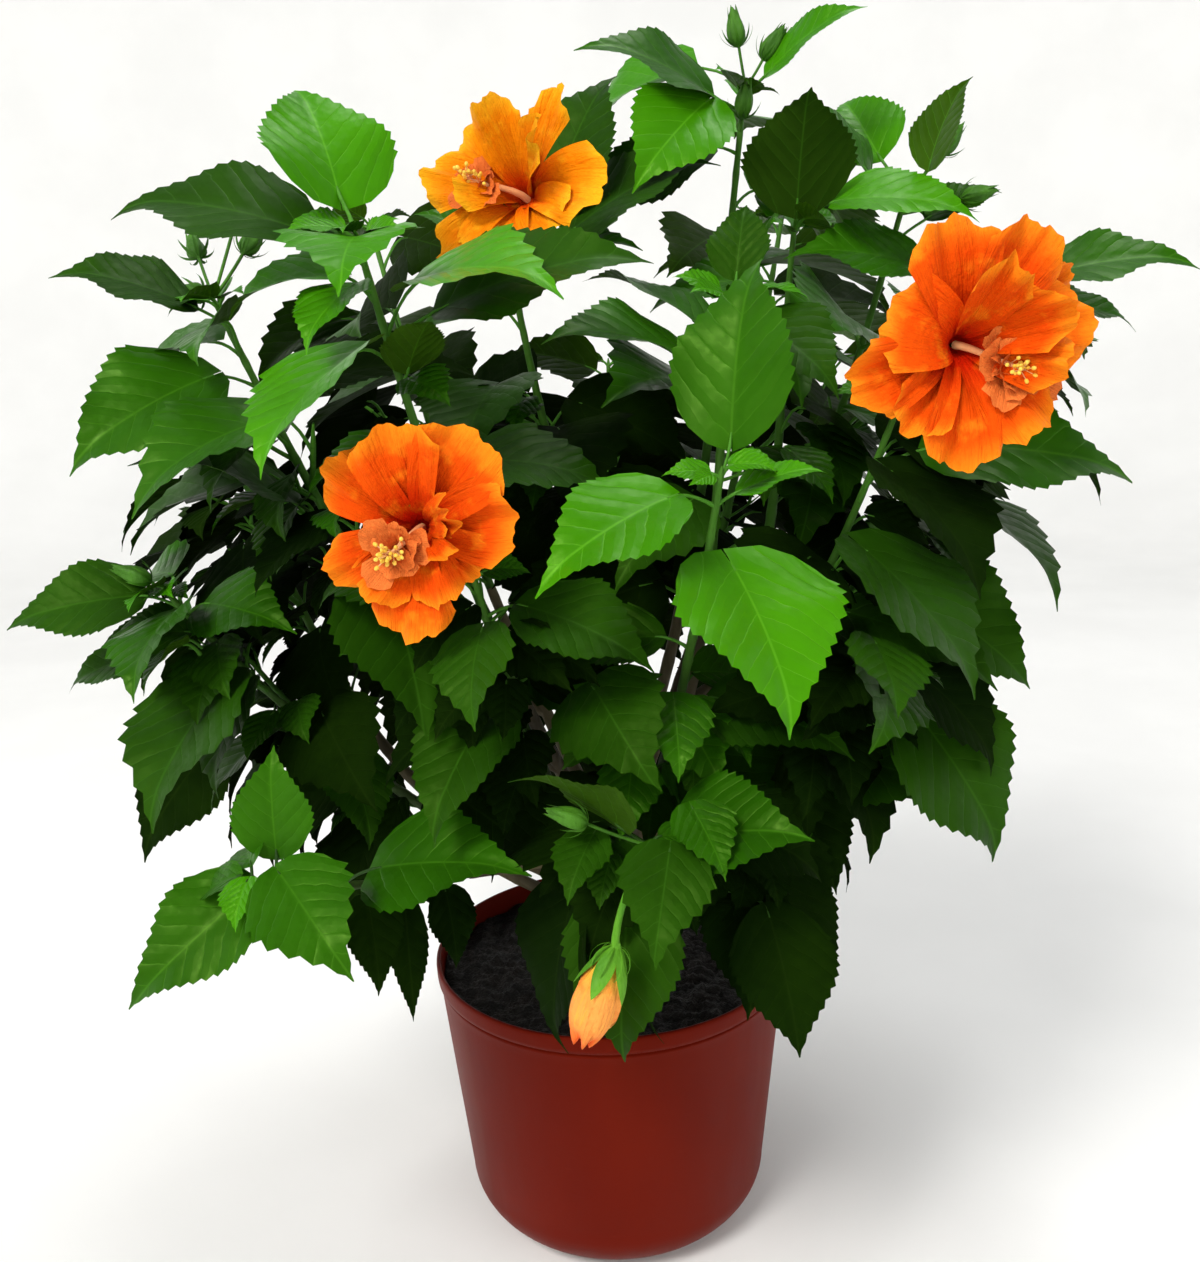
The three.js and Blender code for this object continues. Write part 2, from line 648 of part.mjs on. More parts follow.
// One side twig with its leaves, the last of them in line with it.
function addRuledTwig(world, mass, foot, turn, random) {
  const azimuth = pulledOut(foot, turn, 2 * RULE.outwardPull);
  const length = mix(...RULE.twigLength, random());
  const tip = foot.clone().addScaledVector(heading(azimuth, mix(15, 50, random())), length);
  const own = randomStream(Math.floor(random() * 1e9));
  const samples = lineSamples(foot, tip, [0.2, 0.3, 0.4, 0.5, 0.6, 0.7, 0.8, 0.9, 1]);
  if (!fits(world, mass, [], samples)) return;
  place(world, mass, [], samples, { kind: "twig", foot, tip });
  for (let leaf = 0; leaf < RULE.twigLeaves; leaf++) {
    const last = leaf === RULE.twigLeaves - 1;
    const part = mix(0.4, 0.97, leaf / (RULE.twigLeaves - 1));
    const side = last ? 0 : (leaf % 2 === 0 ? 1 : -1) * mix(50, 85, own());
    addRuledLeaf(world, mass, foot.clone().lerp(tip, part), azimuth + side, last ? 0.5 : 0.15, own);
  }
}

function growMass(world, mass, shoot, random) {
  const curve = world.stemCurves[mass];
  const length = curve.getPoint(0).distanceTo(curve.getPoint(1));
  const nodes = Math.round(length / (shoot.nodeGap ?? RULE.nodeGap));
  const phase = 360 * random();
  for (let twig = 0; twig < shoot.twigs; twig++) {
    const part = mix(0.15, 0.75, (twig + 0.5) / shoot.twigs);
    addRuledTwig(world, mass, curve.getPoint(part), phase + 60 + 150 * twig, random);
  }
  for (let node = 0; node < nodes; node++) {
    const part = mix(0.06, 0.92, node / (nodes - 1));
    const young = clamp01((part - 0.75) / 0.25);
    addRuledLeaf(world, mass, curve.getPoint(part), phase + node * RULE.goldenAngle, young, random);
  }
}

// ---------------------------------------------------------------- blooms
const PETAL_OUTLINE = [[0, 0], [0.45, -0.75], [0.85, -0.9], [1, 0], [0.85, 0.9], [0.45, 0.75]];
const PETAL_CREST = 0.6;

function bloomFrame(bloom) {
  const axis = heading(...bloom.facing);
  const across = heading(bloom.facing[0] + 90, 0);
  const upward = axis.clone().cross(across);
  return { middle: vector(bloom.middle), axis, across, upward, radius: bloom.radius };
}

const bloomBack = (frame) => frame.middle.clone().addScaledVector(frame.axis, -BLOOM.depth * frame.radius);

// A petal points out from the bloom's heart, raised from the bloom's plane by its spread. It is a
// thin lens of twelve faces.
function petalSolid(frame, turn, spread, length, half) {
  const outward = frame.across.clone().multiplyScalar(Math.cos(radians(turn)));
  outward.addScaledVector(frame.upward, Math.sin(radians(turn)));
  const raised = (degrees) => outward.clone().multiplyScalar(Math.cos(radians(degrees)))
    .addScaledVector(frame.axis, Math.sin(radians(degrees)));
  const chord = raised(spread);
  const up = raised(spread + 90);
  const base = bloomBack(frame).addScaledVector(outward, 0.8 * BLOOM.eye * frame.radius);
  const blade = { base, chord, up, side: up.clone().cross(chord), length, half, bend: 0.5, fold: 0.05 };
  const points = PETAL_OUTLINE.map(([along, across]) => bladePoint(blade, along, across));
  const middle = bladePoint(blade, PETAL_CREST, 0);
  points.push(middle.clone().addScaledVector(up, BLOOM.thickness / 2));
  points.push(middle.clone().addScaledVector(up, -BLOOM.thickness / 2));
  const count = PETAL_OUTLINE.length;
  const faces = [];
  for (let corner = 0; corner < count; corner++) {
    const next = (corner + 1) % count;
    faces.push([corner, next, count], [next, corner, count + 1]);
  }
  return solidOf(indexed(points, faces));
}

// A bloom's stalk carries on from the end of its stem and comes into the bloom from behind.
function bloomStalk(bloom, stem) {
  const frame = bloomFrame(bloom);
  const start = stem.getPoint(1).addScaledVector(stem.getTangent(1), GAP);
  const back = bloomBack(frame);
  const run = back.distanceTo(start);
  const curve = new THREE.CubicBezierCurve3(
    start,
    start.clone().addScaledVector(stem.getTangent(1), 0.4 * run),
    back.clone().addScaledVector(frame.axis, -0.4 * run),
    back,
  );
  return { curve, radiusAt: taper(STEM.tipRadius, 2.4), sides: 4, steps: 3 };
}

function bloomSolid(bloom, stem) {
  const frame = bloomFrame(bloom);
  const solids = [];
  for (let petal = 0; petal < BLOOM.petals; petal++) {
    const turn = 90 + (360 * petal) / BLOOM.petals;
    solids.push(petalSolid(frame, turn, BLOOM.spread, bloom.radius, BLOOM.width * bloom.radius));
  }
  const innerLength = BLOOM.innerLength * bloom.radius;
  for (let petal = 0; petal < BLOOM.innerPetals; petal++) {
    const turn = 54 + (360 * petal) / BLOOM.innerPetals;
    solids.push(petalSolid(frame, turn, BLOOM.innerSpread, innerLength, BLOOM.innerWidth * innerLength));
  }
  const back = bloomBack(frame);
  const eye = new THREE.IcosahedronGeometry(BLOOM.eye * bloom.radius, 0);
  solids.push(solidOf(eye.translate(...back.toArray())));
  solids.push(limbSolid(bloomStalk(bloom, stem)));
  return fused(solids);
}

function openingBudStalk(stem) {
  const start = stem.getPoint(1).addScaledVector(stem.getTangent(1), GAP);
  const top = vector(OPENING_BUD.top);
  const leaving = start.clone().addScaledVector(stem.getTangent(1), 16);
  const curve = new THREE.CubicBezierCurve3(start, leaving, top.clone().setZ(top.z + 24), top);
  return { curve, radiusAt: taper(1.5, 1.6), sides: 4, steps: 3 };
}

// The opening bud's body: a spindle, widest above its middle.
function openingBudBody() {
  const top = vector(OPENING_BUD.top);
  const tip = vector(OPENING_BUD.tip);
  const above = top.clone().lerp(tip, -0.12);
  const radiusAt = (part) => 1 + (OPENING_BUD.radius - 1) * Math.sin(Math.PI * part ** 0.8);
  return { curve: new THREE.LineCurve3(above, tip), radiusAt, sides: 7, steps: 5 };
}

// ---------------------------------------------------------------- assembly
function greenBudSolids({ foot, tip }) {
  const way = tip.clone().sub(foot).normalize();
  const turned = new THREE.Quaternion().setFromUnitVectors(new THREE.Vector3(0, 0, 1), way);
  const body = new THREE.OctahedronGeometry(1, 0);
  body.scale(GREEN_BUD.radius, GREEN_BUD.radius, GREEN_BUD.half).applyQuaternion(turned);
  body.translate(...tip.clone().addScaledVector(way, -GREEN_BUD.half).toArray());
  const neck = tip.clone().addScaledVector(way, -GREEN_BUD.half);
  return [
    solidOf(body),
    limbSolid({ curve: new THREE.LineCurve3(foot, neck), radiusAt: taper(0.7, 1), sides: 3, steps: 1 }),
  ];
}

// A twig is slimmer inside the stem that it grows from.
function twigSolid({ foot, tip }) {
  const radiusAt = (part) => (part === 0 ? TWIG.footRadius : mix(TWIG.rootRadius, TWIG.tipRadius, part));
  const curve = new THREE.LineCurve3(foot, tip);
  return limbSolid({ curve, radiusAt, sides: TWIG.sides, steps: TWIG.steps });
}

const MAKERS = {
  leaf: (item) => [leafSolid(item)],
  twig: (item) => [twigSolid(item)],
  bud: greenBudSolids,
};

const massSolid = (stem, grown) =>
  fused([limbSolid(stem), ...grown.flatMap((item) => MAKERS[item.kind](item))]);

// All limbs by name: the main stem, and for each shoot its whole curve, its bough and its stem.
function limbTree() {
  const trunk = mainStem();
  const tree = { main_stem: { whole: trunk.curve, bough: trunk } };
  for (const [name, shoot] of Object.entries(SHOOTS)) {
    const whole = wholeCurve(shoot, tree[shoot.fork[0]].whole);
    tree[name] = { whole, ...limbPair(shoot, whole) };
  }
  return tree;
}

// The foliage: the set buds and leaves first, in every mass, and then the rule's.
function growPlant(tree) {
  const world = { placed: [], masses: {}, stemCurves: {}, stems: {}, limbs: [] };
  for (const [name, { bough, stem }] of Object.entries(tree)) {
    world.limbs.push({ shoot: name, samples: limbSamples(bough, 30) });
    if (stem) {
      world.masses[name] = [];
      world.stemCurves[name] = stem.curve;
      world.stems[name] = limbSamples(stem, 20);
      world.limbs.push({ shoot: name, samples: world.stems[name] });
    }
  }
  for (const bloom of Object.values(BLOOMS)) {
    const stalk = bloomStalk(bloom, world.stemCurves[bloom.shoot]);
    world.limbs.push({ shoot: bloom.shoot, samples: limbSamples(stalk, 10) });
  }
  const budStalk = openingBudStalk(world.stemCurves[OPENING_BUD.shoot]);
  world.limbs.push({ shoot: "opening_bud", samples: limbSamples(budStalk, 10).slice(2) });
  world.limbs.push({ shoot: "opening_bud", samples: limbSamples(openingBudBody(), 10) });
  world.blooms = Object.values(BLOOMS).map(bloomFrame);
  for (const [name, shoot] of Object.entries(SHOOTS)) {
    for (const row of shoot.buds ?? []) addSetBud(world, name, row);
  }
  for (const [name, shoot] of Object.entries(SHOOTS)) {
    for (const row of shoot.leaves ?? []) addSetLeaf(world, name, row);
  }
  const random = randomStream(RULE.seed);
  for (const [name, shoot] of Object.entries(SHOOTS)) growMass(world, name, shoot, random);
  return world;
}

const tree = limbTree();
const world = growPlant(tree);
const plant = new THREE.Group();
plant.add(meshOf("pot", potSolid(), COLOURS.pot));
plant.add(meshOf("potting_soil", soilSolid(), COLOURS.soil));
plant.add(meshOf("main_stem", limbSolid(tree.main_stem.bough), COLOURS.bark));
for (const [name, shoot] of Object.entries(SHOOTS)) {
  const { bough, stem } = tree[name];
  plant.add(meshOf(`bough_${name}`, boughSolid(bough, tree[shoot.fork[0]].bough), COLOURS.bark));
  plant.add(meshOf(`foliage_${name}`, massSolid(stem, world.masses[name]), COLOURS.leaves));
}
for (const [name, bloom] of Object.entries(BLOOMS)) {
  plant.add(meshOf(name, bloomSolid(bloom, tree[bloom.shoot].stem.curve), COLOURS.petals));
}
const openingBud = [openingBudStalk(tree[OPENING_BUD.shoot].stem.curve), openingBudBody()];
plant.add(meshOf("opening_bud", fused(openingBud.map(limbSolid)), COLOURS.petals));

export default plant;
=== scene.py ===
"""Looks of the potted hibiscus shrub: its boughs, twigs, leaves, blooms and buds grown by the same
seeded rule as the solids, in a moulded nursery pot of potting mix. Growth is in millimetres, Z up;
every mesh is put into the scene in metres."""
import math

import bpy
import numpy as np
from mathutils import Matrix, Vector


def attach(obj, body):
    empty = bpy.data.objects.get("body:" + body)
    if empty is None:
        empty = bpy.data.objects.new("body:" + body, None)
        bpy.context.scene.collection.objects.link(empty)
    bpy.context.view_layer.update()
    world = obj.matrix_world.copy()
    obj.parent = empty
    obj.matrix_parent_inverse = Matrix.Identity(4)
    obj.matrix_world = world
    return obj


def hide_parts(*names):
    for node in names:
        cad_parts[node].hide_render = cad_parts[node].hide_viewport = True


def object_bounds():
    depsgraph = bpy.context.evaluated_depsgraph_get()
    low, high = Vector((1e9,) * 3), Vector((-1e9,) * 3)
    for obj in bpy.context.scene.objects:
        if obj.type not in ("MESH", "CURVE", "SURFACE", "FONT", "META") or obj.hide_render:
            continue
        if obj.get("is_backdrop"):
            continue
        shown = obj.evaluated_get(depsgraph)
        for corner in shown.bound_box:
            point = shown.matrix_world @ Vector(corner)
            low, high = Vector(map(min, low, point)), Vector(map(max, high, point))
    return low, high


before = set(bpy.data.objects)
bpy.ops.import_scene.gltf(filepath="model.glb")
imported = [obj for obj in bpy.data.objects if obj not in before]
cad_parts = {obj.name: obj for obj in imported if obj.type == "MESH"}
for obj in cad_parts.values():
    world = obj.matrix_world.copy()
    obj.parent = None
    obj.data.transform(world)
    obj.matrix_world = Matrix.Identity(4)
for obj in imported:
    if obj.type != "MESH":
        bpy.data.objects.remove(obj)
CAD_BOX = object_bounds()
NODES = list(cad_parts)

# ---------------------------------------------------------------- driving sizes
GAP = 0.3
POT = {
    "height": 200, "rim": 128, "band": 12, "shoulder": 127, "foot": 110, "round": (42, 36),
    "wall": 2.6, "floor": 3, "groove": 1.2, "notches": 4, "notch_half": 7, "notch_height": 5,
    "notch_azimuth": -99,
}
SOIL_LEVEL, SOIL_RADIUS = 186, 122.2
MAIN_STEM = {"top": (6, -4, 292), "radius": (15, 9.5), "flare": 6, "flare_height": 22}
BARE = 0.4
BOUGH = (5.2, 4.4, 3.6)
STEM = (3.4, 1.7)
RULE = {
    "seed": 2718, "golden": 137.5, "gap": 19, "lowest": 260, "highest": 740, "low_rise": -40,
    "high_rise": -6, "facing": 34, "length": (78, 108), "stalk": (0.26, 0.42), "pull": 0.3,
    "twig": (55, 90), "twig_leaves": 4, "half": 0.4,
}
CLEAR = {"other": 7, "own": 4, "limb": 6, "pot": 7, "bloom": 4, "reach": 170}
CROWN = (np.array([-8, 20, 480]), np.array([400, 320, 352]), 3)
MOST_SAMPLES = 90000
# The finer twigs and leaves: how many are tried on each stem, their size beside the rule's, the
# heights between which they thin out, which a shoot may set for itself, and the room that they keep.
FINE = {
    "twigs": 11, "twig_size": (0.4, 0.7), "leaves": 22, "leaf_size": (0.45, 0.85),
    "dense_below": (430, 640), "apex_leaves": 6, "apex_size": (0.3, 0.62),
    "room": {"other": 3, "own": 2.5},
}

# Each shoot: where it forks, its apex, its side twigs, how bright its leaves are, and its set
# leaves and buds: [place on the stem, azimuth, rise, length, half width, roll, stalk]. The tones
# say how bright each set leaf is, from 0 to 3. Both brightnesses are partly painted shade and
# light: low, back and inner shoots and leaves are set darker where shade falls on them, and upper
# and front ones lighter where the light falls.
SHOOTS = {
    "front": {
        "fork": ("main_stem", 0.5), "apex": (63, -215, 567), "twigs": 0, "gap": 56, "tone": 0.8,
        "dense_below": (385, 470),
        "tones": "233311",
        "leaves": [
            [0.93, 60, 70, 100, 0.34], [0.9, -150, -24, 88, 0.34, -25], [0.75, -68, -48, 94, 0.47],
            [0.9, -10, 15, 45, 0.3, 25], [0.5, 170, -10, 60, 0.36, -35], [0.3, -30, -15, 85, 0.38, 30],
        ],
    },
    "left_front": {
        "fork": ("main_stem", 0.58), "apex": (-66, -185, 512), "twigs": 2, "tone": 0.4,
        "tones": "11",
        "leaves": [[0.85, -25, -20, 80, 0.36, 28], [0.5, -120, -40, 85, 0.38]],
    },
    "right_front": {
        "fork": ("main_stem", 0.64), "apex": (168, -150, 596), "twigs": 1, "tone": 0.4,
        "tones": "12",
        "leaves": [[0.38, -40, -17, 98, 0.39, 22], [0.8, -6, -8, 114, 0.3, 38]],
    },
    "left_tall": {
        "fork": ("main_stem", 0.8), "apex": (-114, -190, 688), "twigs": 1, "tone": 0.75,
        "tones": "33112",
        "leaves": [
            [1, 124, 54, 74, 0.46], [0.88, -120, -37, 50, 0.42], [0.93, 175, 10, 100, 0.34, -35, 34],
            [0.78, -9, 12, 110, 0.3, 40], [0.7, -60, 35, 44, 0.38],
        ],
    },
    "top": {
        "fork": ("main_stem", 0.98), "apex": (103, 0, 785), "twigs": 2, "tone": 0.75,
        "tones": "23313",
        "leaves": [
            [0.93, -165, 19, 88, 0.35, -38], [0.97, -29, 28, 68, 0.3, 40],
            [0.94, -140, -40, 84, 0.38, -40, 30], [0.86, 180, -28, 96, 0.36, -40, 20],
            [1, 150, -20, 100, 0.42, -35, 45],
        ],
        "buds": [[1, 180, 80, 42], [0.99, -5, 55, 40], [0.9, -80, 60, 30]],
    },
    "top_left": {
        "fork": ("top", 0.1), "apex": (-49, -40, 690), "twigs": 1, "tone": 0.6,
        "tones": "2311",
        "leaves": [
            [0.95, 180, 28, 50, 0.38, -35], [0.97, 110, 70, 50, 0.34], [0.9, 0, 25, 100, 0.36, 35, 45],
            [0.93, 30, 60, 100, 0.36, 30, 45],
        ],
    },
    "top_right": {
        "fork": ("main_stem", 0.75), "apex": (197, -30, 709), "twigs": 1, "tone": 0.7,
        "tones": "3123",
        "leaves": [
            [0.97, -53, 60, 52, 0.4, 0, 34], [0.9, 10, 20, 52, 0.32, 30, 30],
            [0.98, 170, 52, 56, 0.4, -20, 34], [1, 105, 40, 72, 0.36, -35, 45],
        ],
        "buds": [[1, 15, 49, 56], [0.97, 0, 12, 58]],
    },
    "left_mid": {
        "fork": ("main_stem", 0.42), "apex": (-255, -120, 500), "twigs": 1, "tone": 0.6,
        "tones": "1122111",
        "leaves": [
            [0.92, -172, -9, 80, 0.32, -42], [0.8, 180, -5, 54, 0.36, -35], [0.9, -34, -7, 70, 0.36, 40],
            [0.6, -165, -14, 50, 0.36, -45], [0.35, -57, -60, 62, 0.36], [0.45, -154, -43, 66, 0.36],
            [0.7, 180, -20, 72, 0.3, -35, 45],
        ],
        "buds": [[1, 180, 24, 26], [0.93, -174, -25, 40]],
    },
    "back_left_tall": {"fork": ("main_stem", 0.88), "apex": (-165, 150, 730), "twigs": 2, "tone": 0.4},
    "back_right_tall": {"fork": ("main_stem", 0.84), "apex": (155, 175, 730), "twigs": 2, "tone": 0.4},
    "back": {"fork": ("main_stem", 0.7), "apex": (15, 225, 620), "twigs": 2, "tone": 0.35},
    "low_right_side": {
        "fork": ("main_stem", 0.3), "apex": (190, -35, 430), "twigs": 1, "tone": 0.15,
        "tones": "00",
        "leaves": [[0.05, -62, -70, 72, 0.34], [0.5, -40, -60, 66, 0.38, 30]],
    },
    "low_left_side": {
        "fork": ("main_stem", 0.26), "apex": (-235, 0, 385), "twigs": 1, "tone": 0.15,
        "tones": "0",
        "leaves": [[0.9, -150, -50, 100, 0.36, -35, 45]],
    },
    "back_low_left": {"fork": ("main_stem", 0.36), "apex": (-140, 200, 370), "twigs": 1, "tone": 0.2},
    "back_low_right": {"fork": ("main_stem", 0.36), "apex": (140, 195, 360), "twigs": 1, "tone": 0.2},
    "left_upper": {
        "fork": ("left_tall", 0.22), "apex": (-207, -120, 660), "twigs": 1, "tone": 0.5,
        "tones": "12110",
        "leaves": [
            [0.92, -160, 16, 72, 0.36, -28], [0.75, -146, -28, 92, 0.4, -38],
            [0.33, -143, 22, 94, 0.42, -22], [0.17, -65, -54, 93, 0.42, 0, 50],
            [0.7, 0, 2, 96, 0.3, 30],
        ],
        "buds": [[1, 75, 55, 84], [1, 118, 39, 58], [1, 140, 12, 30], [1, 54, 47, 54]],
    },
    "left_side": {"fork": ("left_mid", 0.24), "apex": (-250, 30, 560), "twigs": 1, "tone": 0.3},
    "centre": {
        "fork": ("front", 0.3), "apex": (82, -104, 652), "twigs": 0, "tone": 0.6,
        "tones": "2121",
        "leaves": [
            [0.75, -147, 10, 96, 0.36, -30], [0.9, -48, -34, 70, 0.4, 30], [0.85, 150, 25, 80, 0.42],
            [1, 70, 60, 50, 0.36],
        ],
    },
    "top_front": {
        "fork": ("top_right", 0.24), "apex": (128, -38, 696), "twigs": 0, "tone": 0.6,
        "tones": "132",
        "leaves": [
            [0.97, -91, 55, 72, 0.46], [1, -30, -10, 84, 0.34, 30, 30],
            [0.8, 170, -10, 70, 0.36, -30],
        ],
    },
    "right_outer": {
        "fork": ("top_right", 0.14), "apex": (248, -62, 652), "twigs": 1, "tone": 0.6,
        "tones": "2221",
        "leaves": [
            [0.97, -22, 4, 88, 0.3, 34, 26], [0.9, -8, -14, 60, 0.34, 30, 34],
            [0.95, -176, 8, 84, 0.34, -38, 50], [0.12, -20, -37, 106, 0.39, 45],
        ],
        "buds": [[0.3, -125, 20, 34]],
    },
    "right_mid": {
        "fork": ("right_front", 0.2), "apex": (155, -180, 450), "twigs": 1, "tone": 0.3,
        "tones": "110",
        "leaves": [
            [0.75, -20, -58, 100, 0.4, 45], [0.2, -35, -8, 89, 0.38, 30], [0.05, -57, -55, 70, 0.38, 20],
        ],
    },
    "back_left": {"fork": ("back_left_tall", 0.2), "apex": (-270, 140, 510), "twigs": 1, "tone": 0.3},
    "back_right": {"fork": ("back_right_tall", 0.2), "apex": (265, 120, 510), "twigs": 1, "tone": 0.3},
    "front_low": {
        "fork": ("front", 0.16), "apex": (22, -222, 372), "twigs": 1, "tone": 0.5,
        "tones": "2210",
        "leaves": [
            [0.94, -169, 33, 66, 0.42, 30], [0.8, -32, 13, 76, 0.45, 35],
            [0.45, -105, -70, 92, 0.36, 0, 36], [0.4, -150, -80, 100, 0.38, 0, 45],
        ],
        "buds": [[0.98, -171, 25, 56]],
    },
    "low_left": {
        "fork": ("left_front", 0.16), "apex": (-196, -208, 350), "twigs": 0, "gap": 60, "tone": 0.55,
        "dense_below": (0, 0),
        "tones": "222000",
        "leaves": [
            [0.88, 90, 82, 60, 0.37], [0.75, -155, -36, 92, 0.31, -40], [0.6, -24, 8, 96, 0.36, 35],
            [0.33, -77, -73, 72, 0.16], [0.17, -60, -76, 50, 0.3], [0.5, -72, -67, 56, 0.3],
        ],
    },
    "low_right": {
        "fork": ("right_mid", 0.2), "apex": (80, -190, 322), "twigs": 0, "tone": 0.2,
        "tones": "0000",
        "leaves": [
            [0.6, -45, -62, 74, 0.38], [0.95, -75, -55, 76, 0.38],
            [0.85, -170, -84, 84, 0.36, 0, 50], [0.65, -95, -50, 72, 0.36, 0, 20],
        ],
    },
}
BLOOMS = {
    "bloom_top": {"shoot": "top_left", "middle": (-38, -110, 715), "facing": (-115, 25), "radius": 52},
    "bloom_left": {"shoot": "left_front", "middle": (-88, -230, 543), "facing": (-95, 5), "radius": 54},
    "bloom_right": {"shoot": "right_front", "middle": (185, -208, 621), "facing": (-85, 0), "radius": 62},
}
BLOOM_DEPTH = 0.3
OPENING_BUD = {"shoot": "front_low", "top": (2, -246, 325), "tip": (-16, -250, 278), "radius": 13.5}


# ---------------------------------------------------------------- plain geometry
def mix(a, b, part):
    return a + (b - a) * part


def unit(v):
    return v / np.maximum(np.linalg.norm(v, axis=-1, keepdims=True), 1e-12)


def heading(azimuth, rise):
    """The unit vector of an azimuth and a rise in degrees; both may be arrays."""
    a, r = np.radians(azimuth), np.radians(rise)
    return np.stack([np.cos(a) * np.cos(r), np.sin(a) * np.cos(r), np.sin(r) + 0 * a], axis=-1)


def bezier(*points):
    """The curve of two to four control points, as a function of its parameter."""
    p = np.array(points, float)
    n = len(p) - 1

    def at(t):
        t = np.asarray(t, float)[..., None]
        return sum(math.comb(n, k) * (1 - t) ** (n - k) * t**k * p[k] for k in range(n + 1))

    return at


def turns(count):
    """Equal turns of a circle, in radians."""
    return 2 * np.pi * np.arange(count) / count


def around(first, second, turn):
    """The directions at an array of turns, between two directions that stand square to each other."""
    return first * np.cos(turn)[..., None] + second * np.sin(turn)[..., None]


def tangent(curve, t):
    low, high = max(t - 1e-4, 0), min(t + 1e-4, 1)
    return unit(curve(high) - curve(low))


def stream(seed):
    """A repeatable stream of numbers from 0 to 1, the same one that the solids use."""
    state = [seed & 0xFFFFFFFF]

    def draw():
        s = state[0] = (state[0] + 0x6D2B79F5) & 0xFFFFFFFF
        m = ((s ^ (s >> 15)) * (s | 1)) & 0xFFFFFFFF
        m ^= (m + (((m ^ (m >> 7)) * (m | 61)) & 0xFFFFFFFF)) & 0xFFFFFFFF
        return (m ^ (m >> 14)) / 4294967296

    return draw


def smooth(low, high, x):
    t = np.clip((x - low) / (high - low), 0, 1)
    return t * t * (3 - 2 * t)


# ---------------------------------------------------------------- limbs
def main_stem():
    foot = np.array([0, 0, SOIL_LEVEL + GAP])
    top = np.array(MAIN_STEM["top"], float)
    height = top[2] - foot[2]

    def radius(part):
        flare = np.maximum(0, 1 - part * height / MAIN_STEM["flare_height"]) ** 2
        return mix(*MAIN_STEM["radius"], part) + MAIN_STEM["flare"] * flare

    return bezier(foot, (0, 0, foot[2] + 0.6 * height), top), radius


def whole_curve(shoot, parent):
    place = shoot["fork"][1]
    start, apex = parent(place), np.array(shoot["apex"], float)
    span = np.linalg.norm(apex - start)
    way = (apex - start) / span
    leaving = 0.4 * tangent(parent, place) + 0.6 * way + 1.2 * way * (1, 1, 0)
    arriving = way * (1, 1, 1.6)
    return bezier(start, start + unit(leaving) * 0.36 * span, apex - unit(arriving) * 0.33 * span, apex)


def stretch(whole, low, high):
    return lambda t: whole(mix(low, high, np.asarray(t, float)))


def taper(low, high):
    return lambda part: mix(low, high, np.asarray(part, float))


def limb_tree():
    """Every limb by name: its whole curve, its bough and, past the bare part, its stem."""
    curve, radius = main_stem()
    tree = {"main_stem": {"whole": curve, "bough": (curve, radius)}}
    for name, shoot in SHOOTS.items():
        whole = whole_curve(shoot, tree[shoot["fork"][0]]["whole"])
        steps = whole(np.linspace(0, 1, 201))
        gap = 1.3 * GAP / np.linalg.norm(np.diff(steps, axis=0), axis=1).sum()
        root = BOUGH[0] if shoot["fork"][0] == "main_stem" else BOUGH[1]
        tree[name] = {
            "whole": whole,
            "bough": (stretch(whole, 0, BARE), taper(root, BOUGH[2])),
            "stem": (stretch(whole, BARE + gap, 1), taper(*STEM)),
        }
    return tree


# ---------------------------------------------------------------- growth, as in the solids
SHOULDER, TAPER_FROM, TAPER_WIDTH = 0.28, 0.68, 0.62


def span_at(v):
    return np.interp(v, [0, SHOULDER, TAPER_FROM, 1], [0, 1, TAPER_WIDTH, 0])


def blade_point(b, along, across):
    """Points of a blade: its midrib is an arc over its chord and it folds up from there."""
    along, across = np.asarray(along, float), np.asarray(across, float)
    radius = b["length"] / (2 * math.sin(b["bend"] / 2))
    turn = b["bend"] * (along - 0.5)
    forward = radius * (math.sin(b["bend"] / 2) + np.sin(turn))
    lift = radius * (np.cos(turn) - math.cos(b["bend"] / 2))
    side = across * b["half"]
    return (
        b["base"] + forward[..., None] * b["chord"]
        + (lift + b["fold"] * np.abs(side))[..., None] * b["up"] + side[..., None] * b["side"]
    )


def leaf_blade(base, leaf):
    level = heading(leaf["azimuth"] + 90, 0)
    above = heading(leaf["azimuth"], leaf["rise"] + 90)
    c, s = math.cos(math.radians(leaf["roll"])), math.sin(math.radians(leaf["roll"]))
    return {
        "base": base, "side": level * c + above * s, "up": above * c - level * s,
        "chord": heading(leaf["azimuth"], leaf["rise"]), "length": leaf["length"],
        "half": leaf["half"] * leaf["length"], "bend": leaf["bend"], "fold": leaf["fold"],
    }


ROWS = np.repeat(np.arange(1, 8) / 8, 7)
COLUMNS = np.tile(np.arange(-3, 4) / 3, 7)


def blade_samples(b):
    ends = blade_point(b, [0, 1], [0, 0])
    return np.concatenate([ends, blade_point(b, ROWS, COLUMNS * span_at(ROWS))])


def line(a, b, parts):
    return a + np.asarray(parts)[:, None] * (b - a)


def distances(a, b):
    return np.sqrt(((a[:, None] - b[None]) ** 2).sum(-1))


def bloom_frame(bloom):
    axis = heading(*bloom["facing"])
    across = heading(bloom["facing"][0] + 90, 0)
    middle = np.array(bloom["middle"], float)
    return {
        "middle": middle, "axis": axis, "across": across, "upward": np.cross(axis, across),
        "radius": bloom["radius"], "back": middle - axis * BLOOM_DEPTH * bloom["radius"],
    }


def bloom_stalk(bloom, stem):
    f = bloom_frame(bloom)
    end = tangent(stem, 1)
    start = stem(1) + end * GAP
    run = np.linalg.norm(f["back"] - start)
    curve = bezier(start, start + end * 0.4 * run, f["back"] - f["axis"] * 0.4 * run, f["back"])
    return curve, taper(STEM[1], 2.4)


